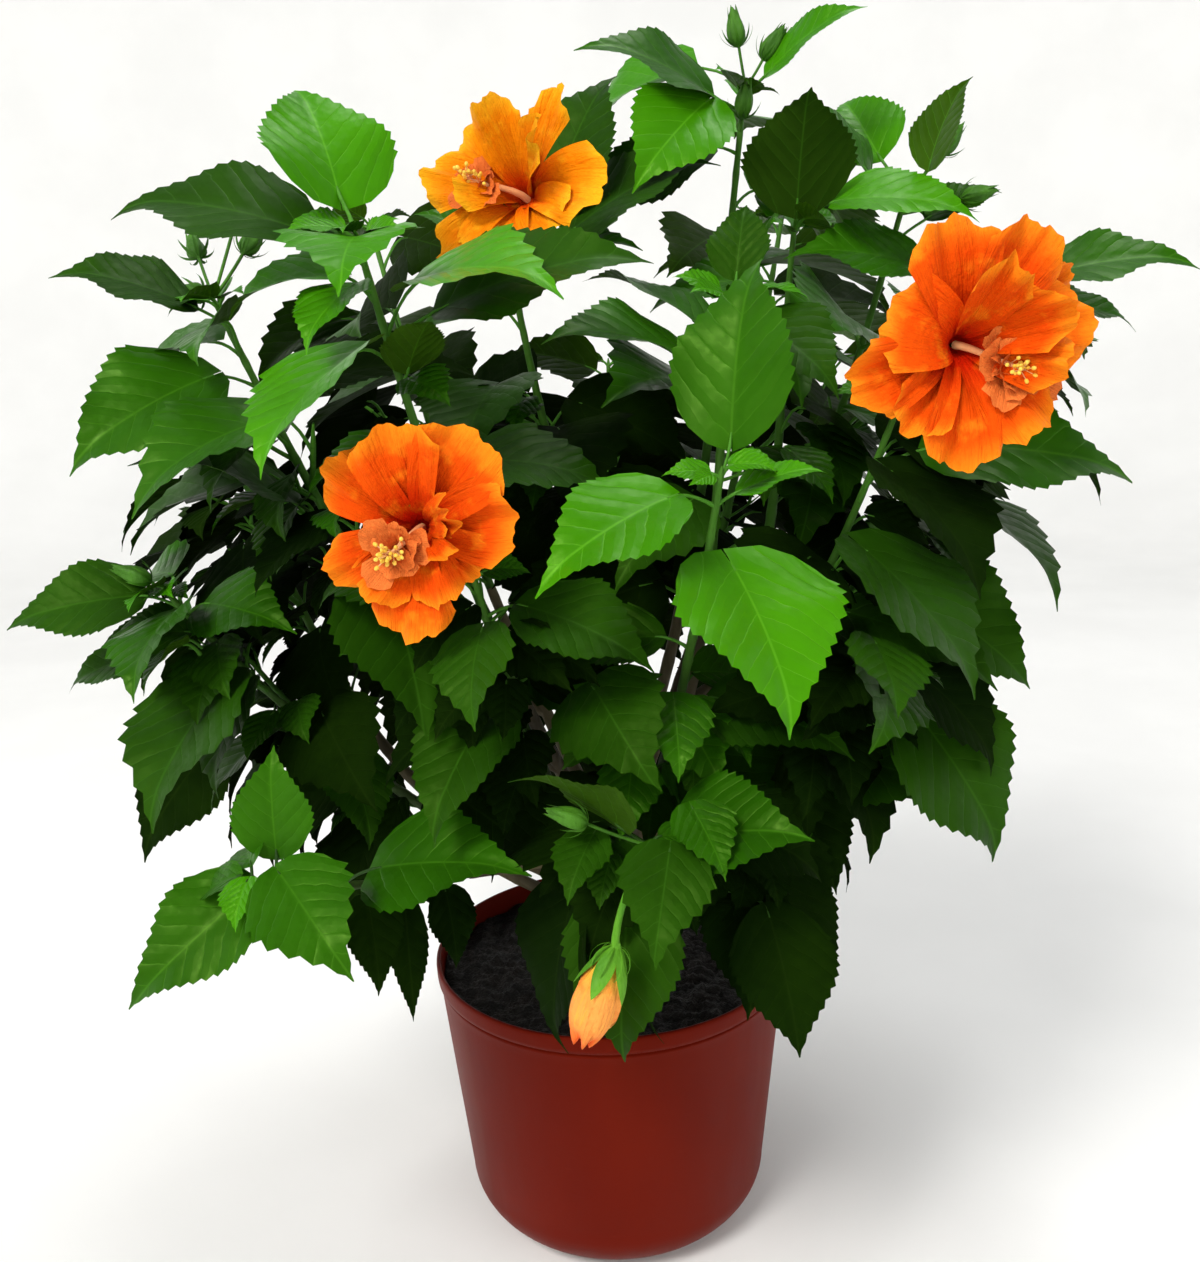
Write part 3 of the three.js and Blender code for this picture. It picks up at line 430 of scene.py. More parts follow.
def opening_bud_limbs(stem):
    end = tangent(stem, 1)
    start = stem(1) + end * GAP
    top, tip = (np.array(OPENING_BUD[k], float) for k in ("top", "tip"))
    stalk = bezier(start, start + end * 16, top + (0, 0, 24), top)
    body = bezier(top + (tip - top) * -0.12, tip)
    r = OPENING_BUD["radius"]
    return (stalk, taper(1.5, 1.6)), (body, lambda t: 1 + (r - 1) * np.sin(np.pi * np.asarray(t) ** 0.8))


# The owners of limbs and samples that belong to no mass of foliage.
MAIN_LIMB, BUD_LIMB, NOBODY = -1, -2, -9


class World:
    """What has grown so far, and whether a new leaf or twig finds room."""

    def __init__(self, tree):
        self.names = list(SHOOTS)
        self.stems = {n: tree[n]["stem"][0] for n in self.names}
        self.items = {n: [] for n in self.names}
        points, radii, owners = [], [], []

        def limb(owner, curve, radius, count, first=0):
            t = np.arange(first, count + 1) / count
            points.append(curve(t))
            radii.append(radius(t) * np.ones(len(t)))
            owners.append(np.full(len(t), owner))

        for name, parts in tree.items():
            owner = self.names.index(name) if name in SHOOTS else MAIN_LIMB
            limb(owner, *parts["bough"], 30)
            if "stem" in parts:
                limb(owner, *parts["stem"], 20)
        for bloom in BLOOMS.values():
            stalk = bloom_stalk(bloom, self.stems[bloom["shoot"]])
            limb(self.names.index(bloom["shoot"]), *stalk, 10)
        stalk, body = opening_bud_limbs(self.stems[OPENING_BUD["shoot"]])
        limb(BUD_LIMB, *stalk, 10, 2)
        limb(BUD_LIMB, *body, 10)
        self.limb_points, self.limb_radii = np.concatenate(points), np.concatenate(radii)
        self.limb_owners = np.concatenate(owners)
        self.blooms = [bloom_frame(b) for b in BLOOMS.values()]
        self.placed = np.zeros((MOST_SAMPLES, 3))
        self.placed_owner = np.full(MOST_SAMPLES, NOBODY)
        self.placed_blade = np.zeros(MOST_SAMPLES, bool)
        self.count = 0

    def clear(self, mass, blade, stalk, other=CLEAR["other"], own=CLEAR["own"]):
        both = np.concatenate([blade, stalk])
        centre, half, power = CROWN
        if ((np.abs(both - centre) / half) ** power).sum(1).max() >= 1:
            return False
        low = both[:, 2] <= POT["height"] + CLEAR["pot"]
        if (low & (np.hypot(both[:, 0], both[:, 1]) <= POT["rim"] + CLEAR["pot"])).any():
            return False
        for f in self.blooms:
            away = both - f["middle"]
            ahead = away @ f["axis"]
            beside = np.sqrt(np.maximum((away**2).sum(1) - ahead**2, 0))
            room = CLEAR["bloom"]
            if ((beside <= f["radius"] + room) & (np.abs(ahead) <= 0.5 * f["radius"] + room)).any():
                return False
        me = self.names.index(mass)
        stem = self.stems[mass](np.arange(21) / 20)
        if len(blade) and distances(blade, stem).min(1).max() > CLEAR["reach"]:
            return False
        mine = self.limb_owners == me
        room = self.limb_radii + np.where(mine, 0.5, 1) * CLEAR["limb"]
        if len(blade) and (distances(blade, self.limb_points[mine]).min(0) < room[mine]).any():
            return False
        if (distances(both, self.limb_points[~mine]).min(0) < room[~mine]).any():
            return False
        low, high = both.min(0) - 10, both.max(0) + 10
        placed = self.placed[: self.count]
        close = ((placed > low) & (placed < high)).all(1)
        mine = self.placed_owner[: self.count] == me
        near = placed[close & mine & self.placed_blade[: self.count]]
        if len(blade) and len(near) and distances(blade, near).min() < own:
            return False
        near = placed[close & ~mine]
        return not (len(near) and distances(both, near).min() < other)

    def place(self, mass, blade, stalk, item):
        for points, is_blade in ((blade, True), (stalk, False)):
            end = self.count + len(points)
            self.placed[self.count : end] = points
            self.placed_owner[self.count : end] = self.names.index(mass)
            self.placed_blade[self.count : end] = is_blade
            self.count = end
        self.items[mass].append(item)


NONE = np.zeros((0, 3))


def add_leaf(world, mass, foot, leaf, **room):
    base = foot + heading(leaf["azimuth"], leaf["stalk_rise"]) * leaf["stalk"]
    blade = leaf_blade(base, leaf)
    samples = blade_samples(blade)
    stalk = line(foot, base, [0.4, 0.7])
    if world.clear(mass, samples, stalk, **room):
        world.place(mass, samples, stalk, {"kind": "leaf", "foot": foot, "blade": blade, **leaf})


def add_set_leaf(world, mass, tone, place, azimuth, rise, length, half, roll=0, stalk=None):
    add_leaf(world, mass, world.stems[mass](place), {
        "azimuth": azimuth, "rise": rise, "roll": roll, "length": length, "half": half,
        "stalk": 0.3 * length if stalk is None else stalk, "bend": 0.5, "fold": 0.22,
        "stalk_rise": mix(rise, 45, 0.6), "young": 0.4 * place, "fine": True, "tone": tone,
    })


def outward_from(foot):
    return math.degrees(math.atan2(foot[1] - CROWN[0][1], foot[0] - CROWN[0][0]))


def pulled_out(foot, turn, pull):
    outward = outward_from(foot)
    off = (turn - outward + 180) % 360 - 180
    return outward + off * (1 - pull)


def add_ruled_leaf(world, mass, foot, turn, young, draw, size=1, **room):
    height = min(max((foot[2] - RULE["lowest"]) / (RULE["highest"] - RULE["lowest"]), 0), 1)
    length = mix(*RULE["length"], draw()) * mix(1, 0.6, young) * size
    azimuth = pulled_out(foot, turn, RULE["pull"])
    off = math.radians(azimuth - outward_from(foot))
    hang = mix(RULE["low_rise"], RULE["high_rise"], height) + 20 * young
    leaf = {"azimuth": azimuth, "length": length, "young": young, "fine": False}
    leaf["rise"] = hang - 0.6 * RULE["facing"] * math.cos(off) + mix(-12, 12, draw())
    leaf["roll"] = RULE["facing"] * math.sin(off) + mix(-16, 16, draw())
    leaf["half"] = RULE["half"] * mix(0.88, 1.14, draw())
    leaf["bend"] = mix(0.35, 0.75, draw())
    leaf["fold"] = mix(0.14, 0.34, draw())
    leaf["stalk"] = length * mix(*RULE["stalk"], draw())
    leaf["stalk_rise"] = mix(20, 50, draw())
    add_leaf(world, mass, foot, leaf, **room)


def add_ruled_twig(world, mass, foot, turn, draw, size=1, count=RULE["twig_leaves"], **room):
    azimuth = pulled_out(foot, turn, 2 * RULE["pull"])
    length = mix(*RULE["twig"], draw()) * size
    tip = foot + heading(azimuth, mix(15, 50, draw())) * length
    own = stream(math.floor(draw() * 1e9))
    samples = line(foot, tip, np.arange(2, 11) / 10)
    if not world.clear(mass, NONE, samples, **room):
        return
    world.place(mass, NONE, samples, {"kind": "twig", "foot": foot, "tip": tip, "size": size})
    for leaf in range(count):
        last = leaf == count - 1
        side = 0 if last else (1 if leaf % 2 == 0 else -1) * mix(50, 85, own())
        place = foot + (tip - foot) * mix(0.4, 0.97, leaf / (count - 1))
        add_ruled_leaf(world, mass, place, azimuth + side, 0.5 if last else 0.15, own, size, **room)


def grow_mass(world, mass, shoot, draw):
    curve = world.stems[mass]
    length = np.linalg.norm(curve(1) - curve(0))
    nodes = math.floor(length / shoot.get("gap", RULE["gap"]) + 0.5)
    phase = 360 * draw()
    for twig in range(shoot["twigs"]):
        part = mix(0.15, 0.75, (twig + 0.5) / shoot["twigs"])
        add_ruled_twig(world, mass, curve(part), phase + 60 + 150 * twig, draw)
    for node in range(nodes):
        part = mix(0.06, 0.92, node / (nodes - 1))
        young = min(max((part - 0.75) / 0.25, 0), 1)
        add_ruled_leaf(world, mass, curve(part), phase + node * RULE["golden"], young, draw)


def grow_plant(tree):
    """The foliage as in the solids, then finer twigs and leaves by the same rule in the room left.
    Buds and set leaves are placed first, so that the rule grows round them."""
    world = World(tree)
    for name, shoot in SHOOTS.items():
        for place, azimuth, rise, length in shoot.get("buds", []):
            foot = world.stems[name](place)
            tip = foot + heading(azimuth, rise) * length
            bud = {"kind": "bud", "foot": foot, "tip": tip}
            world.place(name, NONE, line(foot, tip, [0.5, 0.75, 1]), bud)
    for name, shoot in SHOOTS.items():
        for row, tone in zip(shoot.get("leaves", []), shoot.get("tones", "")):
            add_set_leaf(world, name, int(tone), *row)
    draw = stream(RULE["seed"])
    for name, shoot in SHOOTS.items():
        grow_mass(world, name, shoot, draw)
    finer = stream(RULE["seed"] + 1)
    for name, shoot in SHOOTS.items():
        curve = world.stems[name]
        dense = shoot.get("dense_below", FINE["dense_below"])
        for node in range(FINE["twigs"]):
            place = curve(mix(0, 0.85, (node + finer()) / FINE["twigs"]))
            turn, size = finer() * 360, mix(*FINE["twig_size"], finer())
            if place[2] < mix(*dense, finer()):
                add_ruled_twig(world, name, place, turn, finer, size, 3, **FINE["room"])
        for node in range(FINE["leaves"]):
            place = curve(mix(0, 0.9, (node + finer()) / FINE["leaves"]))
            turn, size = finer() * 360, mix(*FINE["leaf_size"], finer())
            if place[2] < mix(*dense, finer()):
                add_ruled_leaf(world, name, place, turn, 0, finer, size, **FINE["room"])
        for leaf in range(FINE["apex_leaves"]):
            size = mix(*FINE["apex_size"], finer())
            add_ruled_leaf(world, name, curve(0.97), leaf * RULE["golden"], 1, finer, size, other=2, own=1)
    return world


# ---------------------------------------------------------------- meshes from arrays
def grid_quads(copies, rows, columns, wrap=False):
    """Corner numbers of every quad of some copies of a grid; wrap joins its last column to its first."""
    r = np.arange(rows - 1)[:, None]
    c = np.arange(columns if wrap else columns - 1)[None]
    n = (c + 1) % columns
    quads = np.stack([r * columns + c, r * columns + n, (r + 1) * columns + n, (r + 1) * columns + c], -1)
    quads = quads.reshape(-1, 4)
    return (np.arange(copies)[:, None, None] * rows * columns + quads).reshape(-1, 4)


def put(name, data):
    """A new object, linked into the scene."""
    made = bpy.data.objects.new(name, data)
    bpy.context.scene.collection.objects.link(made)
    return made


def mesh_piece(name, points, quads, uv, material, replaces=()):
    """A smooth mesh of quads from arrays of points in millimetres, with one UV per point."""
    mesh = bpy.data.meshes.new(name)
    points = np.asarray(points, float).reshape(-1, 3) * 0.001
    mesh.vertices.add(len(points))
    mesh.vertices.foreach_set("co", points.ravel())
    mesh.loops.add(quads.size)
    mesh.loops.foreach_set("vertex_index", quads.ravel().astype(np.int32))
    mesh.polygons.add(len(quads))
    mesh.polygons.foreach_set("loop_start", np.arange(len(quads), dtype=np.int32) * 4)
    mesh.update(calc_edges=True)
    mesh.shade_smooth()
    layer = mesh.uv_layers.new(name="UVMap")
    layer.data.foreach_set("uv", np.asarray(uv, float).reshape(-1, 2)[quads.ravel()].ravel())
    mesh.materials.append(material)
    piece = put(name, mesh)
    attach(piece, "root")
    if replaces:
        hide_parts(*replaces)


class Heap:
    """Grids gathered to become one joined mesh."""

    def __init__(self):
        self.points, self.quads, self.uv, self.count = [], [], [], 0

    def add(self, points, uv, wrap=False):
        """points and uv are arrays of (copies, rows, columns, size); uv may be 0 all over."""
        copies, rows, columns = points.shape[:3]
        self.points.append(points.reshape(-1, 3))
        self.uv.append(np.broadcast_to(uv, points.shape[:3] + (2,)).reshape(-1, 2))
        self.quads.append(grid_quads(copies, rows, columns, wrap) + self.count)
        self.count += copies * rows * columns

    def piece(self, name, material, slot, replaces=()):
        points, quads, uv = (np.concatenate(a) for a in (self.points, self.quads, self.uv))
        mesh_piece(name, points, quads, uv, material, replaces)


def add_tubes(heap, paths, radii, sides):
    """Tubes round many paths at once. A ring stands square to its path at each point; its corners lie
    at equal turns, at the ring's radius, which may also change round the ring."""
    paths, radii = np.asarray(paths, float), np.asarray(radii, float)
    along = unit(np.gradient(paths, axis=1))
    aside = np.where(np.abs(along[:, :1, 2:]) > 0.8, [[[1.0, 0, 0]]], [[[0, 0, 1.0]]])
    first = unit(np.cross(along, aside))
    second = np.cross(along, first)
    if radii.ndim == 2:
        radii = radii[..., None] * np.ones(sides)
    ring = around(first[:, :, None], second[:, :, None], turns(sides))
    points = paths[:, :, None] + ring * radii[..., None]
    run = np.concatenate([[0], np.cumsum(np.linalg.norm(np.diff(paths[0], axis=0), axis=1))])
    u, v = np.meshgrid(np.arange(sides) / sides, run / 100)
    heap.add(points, np.stack([u, v], -1)[None], wrap=True)


def add_tube(heap, path, radii, sides):
    add_tubes(heap, path[None], radii[None], sides)


# ---------------------------------------------------------------- leaves
def leaf_grid(leaves, teeth, columns, rng):
    """Blades of many leaves at once, as (leaf, row, column, 3). A row lies at v along the midrib and a
    column at u across it. The half width is the leaf's own times sin(pi v^p)^(1 + v^2 / 2), with p
    near 0.6, which is rounded at the base and drawn out at the tip; past the smooth base each tooth
    is a row pushed out and forward with a notch close before it. The midrib is an arc over the
    chord, the halves fold up from it and sag again towards the margin, the margin waves, the base
    has two lobes, the larger the broader the leaf, and the tip hangs."""
    step = 0.7 / teeth
    points_v = 0.2 + step * np.arange(teeth)[:, None] + step * np.array([0.35, 1])
    v = np.concatenate([[0, 0.03, 0.09, 0.16], points_v.ravel(), [0.95, 1]])[None, :, None]
    tooth = np.concatenate([[0, 0, 0, 0], np.tile([-0.5, 1], teeth), [0, 0]])[None, :, None]
    u = np.linspace(1, -1, columns)[None, None]
    length, half, bend, fold, *axes = (
        np.array([b[key] for b in leaves])[:, None, None]
        for key in ("length", "half", "bend", "fold", "base", "chord", "up", "side")
    )
    wild = rng.random((5, len(leaves), 1, 1))
    width = np.maximum(np.sin(np.pi * v ** mix(0.54, 0.66, wild[2])), 0) ** (1 + 0.5 * v**2) + 0.012
    edge = np.abs(u) ** 4
    side = u * half * (width + 0.5 / teeth * tooth * edge * np.sqrt(width))
    lobe = 0.05 + 0.6 * np.maximum(half / length - 0.34, 0)
    forward_v = v + 0.12 * step * tooth * edge - lobe * np.abs(u) ** 1.4 * np.exp(-((v / 0.12) ** 2))
    radius = length / (2 * np.sin(bend / 2))
    turn = bend * (forward_v - 0.5)
    forward = radius * (np.sin(bend / 2) + np.sin(turn))
    lift = radius * (np.cos(turn) - np.cos(bend / 2))
    lift = lift + fold * np.abs(side) * (1.15 - 0.35 * np.abs(side) / half)
    wave = np.sin(2 * np.pi * (mix(1.4, 2.4, wild[0]) * v + wild[1]) + np.sign(u) * (1 + 2 * wild[2]))
    lift = lift + 0.026 * length * wave * u**2 * np.sqrt(width)
    lift = lift - 0.08 * length * (np.maximum(v - 0.7, 0) / 0.3) ** 2
    side = side + 0.05 * length * (wild[3] - 0.5) * v**2
    twist = 0.35 * (wild[4] - 0.5) * v
    across = side * np.cos(twist) - lift * np.sin(twist)
    lift = side * np.sin(twist) + lift * np.cos(twist)
    base, chord, up, aside = axes
    points = base + forward[..., None] * chord + lift[..., None] * up + across[..., None] * aside
    uv = np.stack([0.5 + side / length, v + 0 * side], -1)
    return points, uv


def stalk_paths(leaves):
    """A leaf's stalk bows from its foot, where it rises, into the line of the blade."""
    t = np.linspace(0, 1, 6)
    paths = []
    for item in leaves:
        b, foot = item["blade"], item["foot"]
        run = np.linalg.norm(b["base"] - foot)
        out = heading(item["azimuth"], item["stalk_rise"] + 12)
        start = blade_point(b, 0.05, 0) - b["base"]
        end = b["base"] - unit(start) * run * 0.25
        paths.append(bezier(foot, foot + out * run * 0.45, end, b["base"] + start)(t))
    return np.array(paths)


# ---------------------------------------------------------------- shader helpers
class Tree:
    """Short ways to put nodes into a node tree."""

    def __init__(self, tree):
        self.tree = tree

    def fill(self, node, inputs):
        """Link a node's inputs to other nodes' outputs, or set those that are given as values."""
        for key, value in inputs.items():
            if isinstance(value, bpy.types.NodeSocket):
                self.tree.links.new(value, node.inputs[key])
            else:
                node.inputs[key].default_value = value
        return node

    def node(self, kind, inputs=(), **settings):
        n = self.tree.nodes.new(kind)
        for key, value in settings.items():
            setattr(n, key, value)
        return self.fill(n, dict(inputs))

    def math(self, operation, *values, clamp=False):
        n = self.node("ShaderNodeMath", dict(enumerate(values)), operation=operation)
        n.use_clamp = clamp
        return n.outputs[0]

    def ramp(self, value, low, high, out_low=0.0, out_high=1.0):
        n = self.node(
            "ShaderNodeMapRange",
            {"Value": value, "From Min": low, "From Max": high, "To Min": out_low, "To Max": out_high},
            interpolation_type="SMOOTHSTEP",
        )
        return n.outputs["Result"]

    def blend(self, part, a, b):
        return self.node("ShaderNodeMix", {0: part, 6: a, 7: b}, data_type="RGBA").outputs[2]

    def noise(self, vector, scale, detail=3.0, roughness=0.55):
        inputs = {"Vector": vector, "Scale": scale, "Detail": detail, "Roughness": roughness}
        return self.node("ShaderNodeTexNoise", inputs).outputs["Fac"]

    def stretched(self, vector, scale):
        return self.node("ShaderNodeMapping", {"Vector": vector, "Scale": scale}).outputs[0]


def new_group(name, numbers, outputs):
    """A node group with an input Vector, number inputs by name and default, and number outputs. It
    comes with its tree, what goes into it and the node that takes its outputs."""
    group = bpy.data.node_groups.new(name, "ShaderNodeTree")
    group.interface.new_socket(name="Vector", in_out="INPUT", socket_type="NodeSocketVector")
    for label, default in numbers.items():
        socket = group.interface.new_socket(name=label, in_out="INPUT", socket_type="NodeSocketFloat")
        socket.default_value = default
    for label in outputs:
        group.interface.new_socket(name=label, in_out="OUTPUT", socket_type="NodeSocketFloat")
    t = Tree(group)
    return group, t, t.node("NodeGroupInput").outputs, t.node("NodeGroupOutput")


def vein_group():
    """Veins of a blade from its UV, where U is 0.5 at the midrib and V runs from base to tip. Side
    veins leave the midrib at even spaces and slant forward; the blade swells between them."""
    group, t, into, out = new_group("leaf_veins", {"Count": 6.5, "Slant": 0.75}, ["Veins", "Height"])
    uv = into["Vector"]
    split = t.node("ShaderNodeSeparateXYZ", {0: uv}).outputs
    off = t.math("ABSOLUTE", t.math("SUBTRACT", split[0], 0.5))
    curved = t.math("MULTIPLY", off, t.math("MULTIPLY_ADD", off, 0.9, into["Slant"]))
    place = t.math("SUBTRACT", split[1], curved)
    bent = t.math("MULTIPLY_ADD", t.noise(uv, 7.0, 2.0), 0.05, place)
    place = t.math("MULTIPLY", t.math("ADD", bent, 0.4), into["Count"])
    between = t.math("PINGPONG", place, 0.5)
    side = t.ramp(between, 0.0, 0.045, 1.0, 0.0)
    side = t.math("MULTIPLY", side, t.ramp(off, 0.12, 0.34, 0.8, 0.25))
    middle = t.ramp(off, 0.002, 0.011, 1.0, 0.0)
    swell = t.math("POWER", t.math("MULTIPLY", between, 2.0), 0.45)
    swell = t.math("MULTIPLY", swell, t.ramp(off, 0.0, 0.08))
    cells = {"Vector": uv, "Scale": 17.0}
    net = t.node("ShaderNodeTexVoronoi", cells, voronoi_dimensions="2D", feature="SMOOTH_F1")
    height = t.math("MULTIPLY_ADD", net.outputs["Distance"], -0.3, swell)
    t.fill(out, {"Veins": t.math("MAXIMUM", side, middle), "Height": height})
    return group


def mottle_group():
    """Uneven colour in two sizes, from a place on the object: broad blotches and fine grain."""
    group, t, into, out = new_group("mottle", {"Broad": 20.0, "Fine": 200.0}, ["Blotch", "Grain"])
    blotch = t.ramp(t.noise(into["Vector"], into["Broad"]), 0.3, 0.7)
    t.fill(out, {"Blotch": blotch, "Grain": t.noise(into["Vector"], into["Fine"], 4.0)})
    return group


VEINS, MOTTLE = vein_group(), mottle_group()


def material(name, **constants):
    """A new node material: its tree, its Principled shader and its object coordinates."""
    made = bpy.data.materials.new(name)
    made.use_nodes = True
    t = Tree(made.node_tree)
    shader = made.node_tree.nodes["Principled BSDF"]
    for key, value in constants.items():
        shader.inputs[key.replace("_", " ").title().replace("Ior", "IOR")].default_value = value
    place = t.node("ShaderNodeTexCoord").outputs["Object"]
    return made, t, shader, place


def use(t, group, **inputs):
    return t.node("ShaderNodeGroup", inputs, node_tree=group).outputs


def bumped(t, shader, height, distance, strength=1.0):
    bump = t.node("ShaderNodeBump", {"Height": height, "Distance": distance, "Strength": strength})
    t.fill(shader, {"Normal": bump.outputs[0]})


def rgb(*c):
    return (*c, 1.0)


def leaf_material(name, dull, lively, vein, under, gloss, rough):
    """A glossy upper face with sunken veins, and a duller olive underside with raised ones."""
    made, t, shader, place = material(name, specular_ior_level=gloss, specular_tint=rgb(0.5, 0.9, 0.15))
    uv = t.node("ShaderNodeUVMap", uv_map="UVMap").outputs[0]
    veins = use(t, VEINS, Vector=uv)
    mottle = use(t, MOTTLE, Vector=place, Broad=9.0, Fine=160.0)
    colour = t.blend(mottle["Blotch"], rgb(*dull), rgb(*lively))
    colour = t.blend(t.ramp(mottle["Grain"], 0.45, 0.75, 0.0, 0.3), colour, rgb(*dull))
    colour = t.blend(t.math("MULTIPLY", veins["Veins"], 0.4), colour, rgb(*vein))
    below = t.blend(t.math("MULTIPLY", veins["Veins"], 0.5), rgb(*under), rgb(*vein))
    back = t.node("ShaderNodeNewGeometry").outputs["Backfacing"]
    polish = t.ramp(mottle["Grain"], 0.3, 0.7, rough - 0.06, rough + 0.06)
    polish = t.math("MULTIPLY_ADD", back, 0.25, polish)
    t.fill(shader, {"Base Color": t.blend(back, colour, below), "Roughness": polish})
    bumped(t, shader, veins["Height"], 0.0012, 0.5)
    return made


def bark_material(name, dull, lively, broad, bump, young=None):
    """Mottled bark; the young colour, if there is one, takes over between 0.36 and 0.52 m up: partly the
    young shoots' own green, partly painted light, with the lower stems left darker as painted shade.
    """
    made, t, shader, place = material(name, specular_ior_level=0.25)
    mottle = use(t, MOTTLE, Vector=t.stretched(place, (1, 1, 0.35)), Broad=broad, Fine=broad * 9)
    colour = t.blend(mottle["Blotch"], rgb(*dull), rgb(*lively))
    if young:
        height = t.node("ShaderNodeSeparateXYZ", {0: place}).outputs[2]
        colour = t.blend(t.ramp(height, 0.36, 0.52), colour, rgb(*young))
    colour = t.blend(t.ramp(mottle["Grain"], 0.5, 0.8, 0.0, 0.5), colour, rgb(*dull))
    t.fill(shader, {"Base Color": colour, "Roughness": t.ramp(mottle["Grain"], 0.3, 0.7, 0.5, 0.8)})
    bumped(t, shader, mottle["Grain"], bump)
    return made


def petal_material(name, heart, body, edge):
    """Petals whose colour runs from the heart, at V 0, to the edge, at V 1, with fine veins along V."""
    made, t, shader, place = material(
        name, roughness=0.6, specular_ior_level=0.15, specular_tint=rgb(1, 0.5, 0.15)
    )
    uv = t.node("ShaderNodeUVMap", uv_map="UVMap").outputs[0]
    along = t.node("ShaderNodeSeparateXYZ", {0: uv}).outputs[1]
    lines = t.noise(t.stretched(uv, (30, 2.2, 1)), 1.0, 3.0, 0.6)
    uneven = t.math("MULTIPLY_ADD", t.noise(place, 40.0), 0.3, t.math("SUBTRACT", along, 0.15))
    colour = t.blend(t.ramp(uneven, 0.05, 0.55), rgb(*heart), rgb(*body))
    colour = t.blend(t.ramp(uneven, 0.72, 1.08), colour, rgb(*edge))
    colour = t.blend(t.ramp(t.noise(place, 70.0), 0.52, 0.72, 0.0, 0.55), colour, rgb(*edge))
    colour = t.blend(t.ramp(lines, 0.52, 0.8, 0.0, 0.45), colour, rgb(*heart))
    t.fill(shader, {"Base Color": colour})
    crinkled = t.math("MULTIPLY_ADD", t.noise(place, 190.0, 3.0, 0.6), 0.9, lines)
    bumped(t, shader, crinkled, 0.0018, 0.9)
    return made


# ---------------------------------------------------------------- grow it
tree = limb_tree()
world = grow_plant(tree)
rng = np.random.default_rng(7)


def grown(kind):
    """Every item of a kind, with the name of its shoot."""
    return [(name, item) for name in SHOOTS for item in world.items[name] if item["kind"] == kind]


# Each tone of leaf: its dull and lively upper face, its veins, its underside, how strongly it
# reflects and how rough it is. The tones are partly lit and shaded copies of one leaf: the deep and
# dark ones are painted shade on the inner and lower leaves, and the bright one is painted light on
# the upper and outer ones.
LEAF_TONES_WITH_PAINTED_SHADE = {
    "deep": (
        (0.003, 0.01, 0.001), (0.006, 0.018, 0.001), (0.012, 0.028, 0.003), (0.005, 0.012, 0.001),
        0.02, 0.75,
    ),
    "dark": (
        (0.01, 0.042, 0.001), (0.016, 0.066, 0.002), (0.034, 0.12, 0.007), (0.014, 0.042, 0.002),
        0.12, 0.45,
    ),
    "mid": (
        (0.014, 0.072, 0.001), (0.023, 0.112, 0.002), (0.055, 0.19, 0.008), (0.023, 0.065, 0.002),
        0.22, 0.38,
    ),
    "bright": (
        (0.033, 0.175, 0.001), (0.052, 0.245, 0.002), (0.11, 0.38, 0.014), (0.04, 0.11, 0.003),
        0.24, 0.36,
    ),
}
TONE_STEPS = (0.42, 0.6, 0.82)


def tone_with_painted_shade(mass, item):
    """How bright a leaf is: its own tone, or one from its spray, how young it is, its height and how
    far out it grows. Young leaves are truly paler; the spray's tone, the height and the distance out
    are painted shade and light, darker for low, back and inner leaves, lighter for high, outer ones."""
    if item["fine"]:
        return item["tone"]
    middle = blade_point(item["blade"], 0.5, 0)
    out = (((np.abs(middle - CROWN[0]) / CROWN[1]) ** 2).sum()) ** 0.5
    # Painted shade and light: the spray's tone, the distance out and the height darken inner, low and back
    # leaves and lighten outer, high ones; youth makes a leaf truly paler.
    value = SHOOTS[mass]["tone"] + 0.35 * item["young"] + 0.7 * (out - 0.8)
    value = value + 0.3 * (middle[2] - 540) / 300 + 0.16 * (rng.random() - 0.5)
    return np.digitize(value, TONE_STEPS)


def build_leaves():
    """The leaves of each tone, whose brightness is partly painted shade and light, as one piece: the set
    ones finely toothed, the ruled ones coarser.
    """
    leaves = grown("leaf")
    bands = [tone_with_painted_shade(name, item) for name, item in leaves]
    for band, (label, looks) in enumerate(LEAF_TONES_WITH_PAINTED_SHADE.items()):
        heap = Heap()
        of_band = [item for (_, item), own in zip(leaves, bands) if own == band]
        for fine, teeth, columns in ((True, 11, 9), (False, 6, 5)):
            blades = [item["blade"] for item in of_band if item["fine"] == fine]
            if blades:
                heap.add(*leaf_grid(blades, teeth, columns, rng))
        replaced = [n for n in NODES if n.startswith("foliage_")] if label == "mid" else ()
        heap.piece(f"leaves_{label}", leaf_material(f"leaf_{label}", *looks), "foliage", replaced)


def build_stalks_and_twigs():
    # The stalks and twigs are darker lower down: partly painted shade on the inner, lower ones, partly the
    # paler green of young growth higher up.
    skin = bark_material(
        "young_stem", (0.014, 0.05, 0.004), (0.03, 0.1, 0.008), 30.0, 0.0003, (0.06, 0.22, 0.012)
    )
    heap = Heap()
    paths = stalk_paths([item for _, item in grown("leaf")])
    add_tubes(heap, paths, np.broadcast_to([1.5, 1.1, 0.95, 0.95, 1.0, 0.5], paths.shape[:2]), 6)
    twigs = [item for _, item in grown("twig")]
    sagging = [(i["foot"], mix(i["foot"], i["tip"], 0.5) + (0, 0, -2), i["tip"]) for i in twigs]
    paths = np.array([bezier(*points)(np.linspace(0, 1, 5)) for points in sagging])
    sizes = np.array([i["size"] for i in twigs])[:, None] ** 0.8
    add_tubes(heap, paths, sizes * [2.1, 1.9, 1.75, 1.6, 0.6], 7)
    heap.piece("stalks_and_twigs", skin, "foliage")


